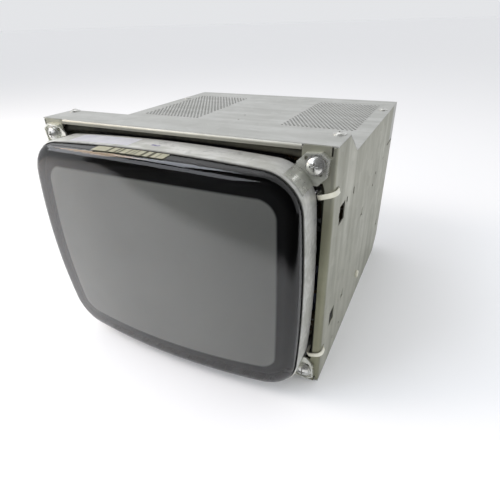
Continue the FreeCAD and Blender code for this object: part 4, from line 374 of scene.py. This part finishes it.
def tape_turns_group():
    """Sweeps a round profile along a closed path, as tape in overlapping turns that each end in a step."""
    tree, entry, leave = new_group("tape_turns", "GeometryNodeTree", (
        ("Path", "Geometry"), ("Wire Radius", "Float"), ("Turn Pitch", "Float"), ("Tape Step", "Float"),
        ("Sides", "Int"), ("Finish", "Material")), (("Coil", "Geometry"),))
    path = put(tree, "GeometryNodeMeshToCurve", entry["Path"]).outputs[0]
    evened = put(tree, "GeometryNodeResampleCurve", mode="LENGTH")
    feed(tree, evened, Curve=path, Length=calc(tree, "DIVIDE", entry["Turn Pitch"], WRAP_POINTS))
    along = put(tree, "GeometryNodeSplineParameter").outputs["Length"]
    place = put(tree, "GeometryNodeInputPosition").outputs[0]
    route = noted(tree, evened.outputs[0], "travelled", along)
    route = noted(tree, route, "centre", place, "FLOAT_VECTOR")
    ring = put(tree, "GeometryNodeCurvePrimitiveCircle", entry["Sides"], mode="RADIUS")
    feed(tree, ring, Radius=entry["Wire Radius"])
    around = put(tree, "GeometryNodeSplineParameter").outputs["Factor"]
    profile = noted(tree, ring.outputs[0], "around", around)
    swept = put(tree, "GeometryNodeCurveToMesh", route, profile).outputs[0]
    turns = calc(tree, "DIVIDE", read_back(tree, "travelled"), entry["Turn Pitch"])
    phase = calc(tree, "FRACT", calc(tree, "ADD", turns, read_back(tree, "around")))
    sunk = calc(tree, "MULTIPLY", calc(tree, "SUBTRACT", 1.0, phase), entry["Tape Step"])
    inward = calc_vector(tree, "SUBTRACT", read_back(tree, "centre", "FLOAT_VECTOR"), place)
    offset = put(tree, "ShaderNodeVectorMath", calc_vector(tree, "NORMALIZE", inward), operation="SCALE")
    feed(tree, offset, Scale=sunk)
    wrapped = put(tree, "GeometryNodeSetPosition")
    feed(tree, wrapped, Geometry=swept, Offset=offset.outputs[0])
    smooth = put(tree, "GeometryNodeSetShadeSmooth", wrapped.outputs[0]).outputs[0]
    whole = put(tree, "GeometryNodeRealizeInstances", smooth).outputs[0]
    painted = feed(tree, put(tree, "GeometryNodeSetMaterial"), Geometry=whole, Material=entry["Finish"])
    set_socket(tree, leave["Coil"], painted.outputs[0])
    return tree


def grown(name, path, group, **inputs):
    """The mesh that a geometry group makes from a closed loop of points, with no modifier left on it."""
    mesh = bpy.data.meshes.new(name + "_path")
    count = len(path)
    mesh.from_pydata(path, [(i, (i + 1) % count) for i in range(count)], [])
    source = linked(name + "_path", mesh)
    modifier = source.modifiers.new(name, "NODES")
    modifier.node_group = group
    sockets = {item.name: item.identifier for item in group.interface.items_tree if item.in_out == "INPUT"}
    for label, value in inputs.items():
        modifier[sockets[label.replace("_", " ")]] = value
    baked = bpy.data.meshes.new_from_object(source.evaluated_get(bpy.context.evaluated_depsgraph_get()))
    baked.name = name
    bpy.data.objects.remove(source)
    return linked(name, baked)


def wrapped_coil(finish):
    """The ring of wire behind the glass, in its turns of tape."""
    half_w = COIL_HIGH.x - COIL_R
    half_h = (COIL_HIGH.z - COIL_LOW.z) / 2 - COIL_R
    outline = barrel(half_w, half_h, COIL_SIDE_BOW_R, COIL_TOP_BOW_R, COIL_CORNER_R, COIL_ARC_POINTS)
    y = (COIL_LOW.y + COIL_HIGH.y) / 2
    path = [(x, y, z + TUBE_Z) for x, z in outline]
    return grown("wrapped_coil", path, tape_turns_group(), Wire_Radius=COIL_R, Turn_Pitch=WRAP_PITCH,
                 Tape_Step=WRAP_STEP, Sides=COIL_SIDES, Finish=finish)


# ---------------------------------------------------------------- effects that finishes share
def grain_group():
    """Cloudy tone, fine grain and streaks, on Object coordinates stretched by the Stretch input."""
    tree, entry, leave = new_group("surface_grain", "ShaderNodeTree", (
        ("Stretch", "Vector", (1, 1, 1)), ("Cloud Scale", "Float", 12.0), ("Grain Scale", "Float", 900.0),
        ("Streak Share", "Float", 0.5)), (("Tone", "Float"), ("Height", "Float")))
    place = object_place(tree)
    stretched = calc_vector(tree, "MULTIPLY", place, entry["Stretch"])
    cloud = noise(tree, place, entry["Cloud Scale"], 4)
    streak = noise(tree, stretched, calc(tree, "MULTIPLY", entry["Cloud Scale"], 6), 3)
    grain = noise(tree, stretched, entry["Grain Scale"])
    streaks = calc(tree, "MULTIPLY", streak, entry["Streak Share"])
    clouds = calc(tree, "MULTIPLY", cloud, calc(tree, "SUBTRACT", 1.0, entry["Streak Share"]))
    tone = spread(tree, calc(tree, "ADD", streaks, clouds), *TONE_SPAN)
    set_socket(tree, leave["Tone"], tone)
    set_socket(tree, leave["Height"], calc(tree, "ADD", grain, calc(tree, "MULTIPLY", tone, 0.4)))
    return tree


def spangle_group():
    """The crystal patches of hot-dipped zinc."""
    tree, entry, leave = new_group("zinc_spangle", "ShaderNodeTree", (("Scale", "Float", 90.0),),
                                   (("Patch", "Float"),))
    cells = feed(tree, put(tree, "ShaderNodeTexVoronoi"), Vector=object_place(tree), Scale=entry["Scale"])
    shade = put(tree, "ShaderNodeSeparateColor", cells.outputs["Color"])
    set_socket(tree, leave["Patch"], shade.outputs[0])
    return tree


def dirt_group():
    """Scattered stains, denser where Amount is higher."""
    tree, entry, leave = new_group("old_dirt", "ShaderNodeTree", (
        ("Scale", "Float", 30.0), ("Amount", "Float", 0.4)), (("Mask", "Float"),))
    blot = noise(tree, object_place(tree), entry["Scale"], 8, 0.7)
    set_socket(tree, leave["Mask"], calc(tree, "MULTIPLY", spread(tree, blot, *STAIN_SPAN), entry["Amount"]))
    return tree


GRAIN = grain_group()
SPANGLE = spangle_group()
DIRT = dirt_group()


def grouped(tree, group, **values):
    return feed(tree, put(tree, "ShaderNodeGroup", node_tree=group), **values).outputs


def start_material(name, roughness=0.5, metallic=0.0):
    made = bpy.data.materials.new(name)
    made.use_nodes = True
    tree = made.node_tree
    return made, tree, feed(tree, tree.nodes["Principled BSDF"], Roughness=roughness, Metallic=metallic)


def bumped(tree, shader, height, strength):
    bump = feed(tree, put(tree, "ShaderNodeBump"), Strength=strength, Distance=0.2 * MM, Height=height)
    feed(tree, shader, Normal=bump.outputs[0])


# ---------------------------------------------------------------- finishes
def plain_finish(name, pale, dark, roughness, metallic=0.0, cloud=20.0, stretch=(1, 1, 1), bump=0.15,
                 dirt=0.2):
    """Two tones in clouds and streaks, stains, and roughness and bump that follow them."""
    made, tree, shader = start_material(name, metallic=metallic)
    base = grouped(tree, GRAIN, Stretch=stretch, Cloud_Scale=cloud, Grain_Scale=900.0, Streak_Share=0.3)
    stain = grouped(tree, DIRT, Scale=cloud * 2, Amount=dirt)
    grime = tuple(value * 0.45 for value in dark)
    colour = mixed(tree, stain["Mask"], mixed(tree, base["Tone"], dark, pale), grime)
    polish = spread(tree, base["Tone"], 0, 1, roughness + 0.07, roughness - 0.05)
    feed(tree, shader, Base_Color=colour, Roughness=polish)
    bumped(tree, shader, base["Height"], bump)
    return made


def ink_stamped(made):
    """A painted piece's finish with a faded ink stamp added, broken up by noise, on its upper side."""
    tree = made.node_tree
    shader = tree.nodes["Principled BSDF"]
    under = shader.inputs["Base Color"].links[0].from_socket
    axes = object_axes(tree)
    x = calc(tree, "DIVIDE", calc(tree, "SUBTRACT", axes["X"], STAMP_CENTRE.x), STAMP_HALF_X)
    y = calc(tree, "DIVIDE", calc(tree, "SUBTRACT", axes["Y"], STAMP_CENTRE.y), STAMP_HALF_Y)
    far = calc(tree, "ADD", calc(tree, "MULTIPLY", x, x), calc(tree, "MULTIPLY", y, y))
    worn = spread(tree, noise(tree, object_place(tree), 420), 0.38, 0.56)
    mark = calc(tree, "MULTIPLY", spread(tree, far, 0.5, 1.0, 0.85, 0.0), worn)
    mark = calc(tree, "MULTIPLY", mark, spread(tree, axes["Z"], *STAMP_LOW))
    feed(tree, shader, Base_Color=mixed(tree, mark, under, STAMP_INK))
    return made


def zinc_sheet(name, pale, dark, stretch, edge=None):
    """Galvanised sheet: spangle, long streaks from rolling, stains, and maybe a tinted strip at one edge,
    darkened as painted shade.
    """
    made, tree, shader = start_material(name, metallic=0.72)
    base = grouped(tree, GRAIN, Stretch=stretch, Cloud_Scale=9.0, Grain_Scale=700.0, Streak_Share=0.6)
    patch = grouped(tree, SPANGLE, Scale=75.0)["Patch"]
    stain = grouped(tree, DIRT, Scale=22.0, Amount=0.22)["Mask"]
    tone = calc(tree, "ADD", calc(tree, "MULTIPLY", base["Tone"], 0.75), calc(tree, "MULTIPLY", patch, 0.25))
    colour = mixed(tree, stain, mixed(tree, tone, dark, pale), tuple(value * 0.6 for value in dark))
    # a yellowish strip at one edge, darker as painted shade, thinning out towards its top
    if edge is not None:
        shade_tint, full_y, gone_y, top_z = edge
        axes = object_axes(tree)
        strip = spread(tree, axes["Y"], full_y, gone_y, 0.7, 0.0)
        if top_z is not None:
            lower = spread(tree, axes["Z"], top_z - SHADE_TINT_FADE, top_z, 1.0, 0.15)
            strip = calc(tree, "MULTIPLY", strip, lower)
        colour = mixed(tree, strip, colour, shade_tint)
    feed(tree, shader, Base_Color=colour, Roughness=spread(tree, tone, 0, 1, 0.52, 0.38))
    bumped(tree, shader, base["Height"], 0.12)
    return made


def tinted_glass():
    """Dark face glass: clear through, polished, with faint smears in its roughness."""
    made, tree, shader = start_material("tinted_face_glass")
    smear = grouped(tree, DIRT, Scale=14.0, Amount=0.05)["Mask"]
    feed(tree, shader, IOR=1.52, Transmission_Weight=1.0, Roughness=calc(tree, "ADD", smear, 0.012),
         Base_Color=mixed(tree, smear, (0.97, 0.975, 0.97), (0.84, 0.85, 0.84)))
    depth = feed(tree, put(tree, "ShaderNodeVolumeAbsorption"), Color=(0.30, 0.31, 0.305), Density=30)
    feed(tree, tree.nodes["Material Output"], Volume=depth.outputs[0])
    return made


def screen_finish():
    """Grey phosphor inside a soft-edged bowed rectangle, and black graphite outside it."""
    made, tree, shader = start_material("phosphor_and_graphite", roughness=0.85)
    axes = object_axes(tree)
    x = calc(tree, "ABSOLUTE", axes["X"])
    z = calc(tree, "ABSOLUTE", calc(tree, "SUBTRACT", axes["Z"], TUBE_Z))
    squares = []
    for out, along, half, bow_r in ((x, z, SCREEN_HALF_W, SCREEN_SIDE_BOW_R),
                                    (z, x, SCREEN_HALF_H, SCREEN_TOP_BOW_R)):
        bow = calc(tree, "DIVIDE", calc(tree, "MULTIPLY", along, along), 2 * bow_r)
        past = calc(tree, "ADD", calc(tree, "SUBTRACT", out, half - SCREEN_CORNER_R), bow)
        past = calc(tree, "MAXIMUM", past, 0.0)
        squares.append(calc(tree, "MULTIPLY", past, past))
    distance = calc(tree, "SUBTRACT", calc(tree, "SQRT", calc(tree, "ADD", *squares)), SCREEN_CORNER_R)
    base = grouped(tree, GRAIN, Cloud_Scale=7.0, Grain_Scale=1400.0, Streak_Share=0.1)
    phosphor = mixed(tree, base["Tone"], (0.60, 0.605, 0.575), (0.67, 0.675, 0.64))
    border = spread(tree, distance, *SCREEN_EDGE)
    feed(tree, shader, Base_Color=mixed(tree, border, phosphor, (0.006, 0.006, 0.007)))
    bumped(tree, shader, base["Height"], 0.05)
    return made


def waves(tree, direction, scale, distortion):
    """Parallel threads or wires across one direction."""
    made = put(tree, "ShaderNodeTexWave", bands_direction=direction)
    return feed(tree, made, Vector=object_place(tree), Scale=scale, Distortion=distortion).outputs["Fac"]


def tape_finish(name, pale, dark):
    """Woven tape: two crossed sets of threads, paler on the raised ones."""
    made, tree, shader = start_material(name, roughness=0.8)
    weave = calc(tree, "MULTIPLY", waves(tree, "X", 420, 0.6), waves(tree, "Z", 420, 0.6))
    base = grouped(tree, GRAIN, Cloud_Scale=40.0, Streak_Share=0.2)
    tone = calc(tree, "ADD", calc(tree, "MULTIPLY", weave, 0.4), calc(tree, "MULTIPLY", base["Tone"], 0.6))
    feed(tree, shader, Base_Color=mixed(tree, tone, dark, pale))
    bumped(tree, shader, weave, 0.4)
    return made


def winding_finish():
    """Enamelled copper wire laid side by side."""
    made, tree, shader = start_material("enamelled_winding", roughness=0.35, metallic=0.6)
    wires = waves(tree, "Y", 300, 1.2)
    feed(tree, shader, Base_Color=mixed(tree, wires, (0.07, 0.022, 0.010), (0.24, 0.085, 0.03)))
    bumped(tree, shader, wires, 0.5)
    return made


def board_finish():
    """Brown laminate with paler solder lands."""
    made, tree, shader = start_material("brown_laminate", roughness=0.5)
    lands = feed(tree, put(tree, "ShaderNodeTexVoronoi"), Vector=object_place(tree), Scale=110)
    dots = spread(tree, lands.outputs["Distance"], 0.16, 0.24, 1.0, 0.0)
    base = grouped(tree, GRAIN, Cloud_Scale=25.0)
    laminate = mixed(tree, base["Tone"], (0.085, 0.052, 0.02), (0.14, 0.09, 0.035))
    feed(tree, shader, Base_Color=mixed(tree, dots, laminate, (0.30, 0.295, 0.27)))
    bumped(tree, shader, dots, 0.2)
    return made


def bar_label_finish(x0, x1):
    """Cream paper with plain dark bars of uneven width, and a bare margin at each end."""
    made, tree, shader = start_material("cream_bar_paper", roughness=0.7)
    along = spread(tree, object_axes(tree)["X"], x0, x1, smooth=False)
    bars = feed(tree, put(tree, "ShaderNodeTexNoise", noise_dimensions="1D"), W=along, Scale=19, Detail=1)
    ink = spread(tree, bars.outputs[0], 0.53, 0.57)
    inside = calc(tree, "MULTIPLY", spread(tree, along, 0.16, 0.18), spread(tree, along, 0.92, 0.90))
    base = grouped(tree, GRAIN, Cloud_Scale=60.0)
    paper = mixed(tree, base["Tone"], (0.62, 0.60, 0.44), (0.74, 0.72, 0.58))
    feed(tree, shader, Base_Color=mixed(tree, calc(tree, "MULTIPLY", ink, inside), paper, (0.16, 0.15, 0.10)))
    bumped(tree, shader, base["Height"], 0.1)
    return made


# ---------------------------------------------------------------- which finish goes on which piece
def paint(made, *names):
    for name in names:
        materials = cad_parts[name].data.materials
        materials.clear()
        materials.append(made)


def paint_chassis():
    # the side panels are darker than the roof as painted shade, over a yellower zinc; their front strip is
    # olive and darker as painted shade
    paint(zinc_sheet("zinc_side_painted_shade", (0.41, 0.41, 0.34), (0.30, 0.30, 0.245), (1, 1, 0.12), OLIVE_TINT_AND_SHADE),
          "side_panel_right", "side_panel_left")
    # the roof's front lip: cream, and darker as painted shade
    paint(zinc_sheet("zinc_roof", (0.56, 0.565, 0.54), (0.44, 0.445, 0.42), (0.12, 1, 1), CREAM_TINT_AND_SHADE),
          "top_cover")
    paint(zinc_sheet("zinc_rear_and_floor", (0.64, 0.65, 0.64), (0.50, 0.51, 0.50), (0.12, 1, 1)),
          "bottom_pan", "rear_panel")
    paint(ink_stamped(plain_finish("plated_band", (0.78, 0.78, 0.75), (0.48, 0.48, 0.44), 0.42, 0.5, cloud=34,
                                   stretch=(0.25, 1, 1), bump=0.3, dirt=0.6)), "implosion_band")
    paint(plain_finish("plated_lug", (0.84, 0.84, 0.79), (0.52, 0.53, 0.46), 0.28, 0.75, cloud=25, bump=0.04,
                       dirt=0.35), "corner_lugs")
    paint(plain_finish("bright_zinc_screw", (0.78, 0.78, 0.75), (0.50, 0.50, 0.47), 0.26, 0.85, cloud=45,
                       bump=0.03, dirt=0.25),
          "lug_screws", "lug_washers", "cover_screws", "rear_hardware", "bottom_rivets", "signal_connector",
          "electron_gun", "yoke_clamp")


def paint_inside():
    paint(plain_finish("natural_nylon", (0.82, 0.81, 0.70), (0.70, 0.68, 0.55), 0.42, cloud=80, dirt=0.15),
          "cable_ties", "nylon_spacers", "lock_ring")
    paint(plain_finish("black_moulding", (0.055, 0.055, 0.055), (0.025, 0.025, 0.025), 0.48, cloud=70),
          "crt_base", "magnet_holder", "flyback_transformer", "mains_inlet", "fuse_holder", "fuse_cap",
          "brightness_knob", "contrast_knob", "height_knob")
    paint(plain_finish("grey_moulding", (0.56, 0.57, 0.55), (0.44, 0.45, 0.43), 0.5, cloud=70),
          "yoke_liner", "crt_socket", "focus_knob", "screen_knob")
    paint(plain_finish("bonded_ferrite", (0.21, 0.20, 0.19), (0.12, 0.115, 0.11), 0.6, cloud=160),
          "purity_ring_front", "purity_ring_rear", "four_pole_ring_front", "four_pole_ring_rear",
          "six_pole_ring_front", "six_pole_ring_rear")
    paint(plain_finish("sintered_ferrite", (0.11, 0.11, 0.115), (0.05, 0.05, 0.055), 0.7, cloud=90, bump=0.4),
          "yoke_core")
    paint(plain_finish("extruded_aluminium", (0.78, 0.79, 0.79), (0.62, 0.63, 0.63), 0.32, 0.9,
                       stretch=(1, 1, 0.08)), "heatsinks")
    paint(plain_finish("moulded_rubber", (0.06, 0.05, 0.045), (0.03, 0.025, 0.022), 0.75, cloud=60),
          "anode_cap", "yoke_wedges")
    paint(plain_finish("sleeved_parts", (0.09, 0.10, 0.17), (0.04, 0.045, 0.08), 0.38, cloud=50),
          "capacitors", "board_parts")
    paint(plain_finish("blackened_steel", (0.17, 0.17, 0.18), (0.09, 0.09, 0.10), 0.55, 0.5, cloud=30),
          "shadow_mask", "mask_frame", "internal_shield")
    paint(plain_finish("graphite_on_glass", (0.06, 0.06, 0.065), (0.03, 0.03, 0.032), 0.6, cloud=14),
          "crt_funnel")
    paint(plain_finish("red_insulation", (0.22, 0.03, 0.022), (0.10, 0.014, 0.010), 0.45, cloud=80),
          "anode_lead", "wiring")
    paint(plain_finish("tinned_braid", (0.66, 0.64, 0.60), (0.36, 0.34, 0.31), 0.4, 0.8, cloud=300, bump=0.6),
          "ground_braid")
    paint(plain_finish("neck_glass_wall", (0.50, 0.56, 0.54), (0.40, 0.46, 0.44), 0.15, cloud=30), "crt_neck")
    paint(winding_finish(), "horizontal_coils", "vertical_coils")
    paint(board_finish(), "neck_board", "main_board", "control_board")
    paint(tape_finish("dark_cloth_tape", (0.06, 0.058, 0.05), (0.018, 0.018, 0.016)), "band_tape")


def dress(piece, made, slot, *replaced):
    piece.data.materials.clear()
    piece.data.materials.append(made)
    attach(piece, "unit")
    if replaced:
        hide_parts(*replaced)


def add_pieces():
    dress(face_glass(), tinted_glass(), "face_glass", "crt_faceplate")
    dress(screen_coating(), screen_finish(), "phosphor", "phosphor_screen")
    coil_tape = tape_finish("coil_cloth_tape", (0.075, 0.07, 0.045), (0.010, 0.010, 0.008))
    dress(wrapped_coil(coil_tape), coil_tape, "black_tape", "degaussing_coil")
    paper = plain_finish("white_paper", (0.86, 0.86, 0.88), (0.78, 0.78, 0.82), 0.75, cloud=40, dirt=0.1)
    dress(top_patch("band_label", BAND_LABEL_X, BAND_LABEL_Y, BAND_LABEL_LIFT, TOP_BOW_R + BAND_WALL,
                    BAND_HIGH.z), paper, "nylon")
    dress(top_patch("glass_label", GLASS_LABEL_X, GLASS_LABEL_Y, GLASS_LABEL_LIFT, TOP_BOW_R, GLASS_HIGH.z,
                    GLASS_LABEL_DIP), bar_label_finish(*GLASS_LABEL_X), "nylon")


# ---------------------------------------------------------------- stage, light and camera
def stage_sheet(name, corners, made):
    """A flat sheet with one finish: the floor or a card."""
    mesh = bpy.data.meshes.new(name)
    mesh.from_pydata(corners, [], [(0, 1, 2, 3)])
    mesh.materials.append(made)
    sheet = linked(name, mesh)
    return sheet


def dark_card(name, corners):
    """A black card for the glass to mirror; it takes no light from the unit or the floor."""
    made, tree, shader = start_material(name + "_felt", roughness=1.0)
    axes = object_axes(tree)
    reach = calc(tree, "SUBTRACT", calc(tree, "MULTIPLY", axes["X"], CARD_SKEW), axes["Y"])
    feed(tree, shader, Base_Color=(0.012, 0.012, 0.012), Alpha=spread(tree, reach, *CARD_EDGE))
    card = stage_sheet(name, corners, made)
    card.visible_camera = False
    card.visible_diffuse = False
    card.visible_shadow = False


def pale_floor():
    """The floor's finish: paler to the viewer and in mirrors and glass than to the light it throws back."""
    made, tree, shader = start_material("pale_floor", roughness=0.6)
    seen = put(tree, "ShaderNodeLightPath").outputs
    mirrored = calc(tree, "MAXIMUM", seen["Is Glossy Ray"], seen["Is Transmission Ray"])
    pale = calc(tree, "MAXIMUM", seen["Is Camera Ray"], mirrored)
    feed(tree, shader, Base_Color=mixed(tree, pale, (0.80, 0.80, 0.81), (0.97, 0.97, 0.975)))
    return made


def set_stage():
    far, half, wide = FLOOR_HALF, LOW_CARD_HALF, FRONT_CARD_HALF
    stage_sheet("floor", ((-far, -far, 0), (far, -far, 0), (far, far, 0), (-far, far, 0)), pale_floor())
    dark_card("low_card", ((-half, -half, LOW_CARD_LIFT), (half, -half, LOW_CARD_LIFT),
                           (half, 0, LOW_CARD_LIFT), (-half, 0, LOW_CARD_LIFT)))
    dark_card("front_card", ((-wide, FRONT_CARD_Y, 0), (wide, FRONT_CARD_Y, 0),
                             (wide, FRONT_CARD_Y, FRONT_CARD_TOP), (-wide, FRONT_CARD_Y, FRONT_CARD_TOP)))


def set_light():
    world = bpy.data.worlds.new("studio")
    world.use_nodes = True
    feed(world.node_tree, world.node_tree.nodes["Background"], Color=(0.80, 0.81, 0.83), Strength=0.97)
    bpy.context.scene.world = world
    for name, place, target, width, height, power, colour in LAMPS:
        data = bpy.data.lights.new(name, "AREA")
        data.shape = "RECTANGLE"
        data.size = width
        data.size_y = height
        data.energy = power
        data.color = colour
        made = linked(name, data)
        made.location = place
        made.rotation_euler = (Vector(target) - Vector(place)).to_track_quat("-Z", "Y").to_euler()


def set_camera():
    turn, rise, roll = (math.radians(angle) for angle in (EYE_TURN, EYE_RISE, EYE_ROLL))
    back = Vector((math.sin(turn) * math.cos(rise), -math.cos(turn) * math.cos(rise), math.sin(rise)))
    right = (-back).cross(Vector((0, 0, 1))).normalized()
    down = (-back).cross(right)
    rolled_right = right * math.cos(roll) - down * math.sin(roll)
    rolled_down = right * math.sin(roll) + down * math.cos(roll)
    data = bpy.data.cameras.new("viewer")
    data.sensor_width = SENSOR
    data.lens = LENS
    camera = linked("viewer", data)
    axes = Matrix((rolled_right, -rolled_down, back)).transposed().to_4x4()
    camera.matrix_world = Matrix.Translation(EYE) @ axes
    bpy.context.scene.camera = camera


set_camera()
set_stage()
set_light()
paint_chassis()
paint_inside()
add_pieces()
bpy.context.scene.view_settings.view_transform = "Standard"
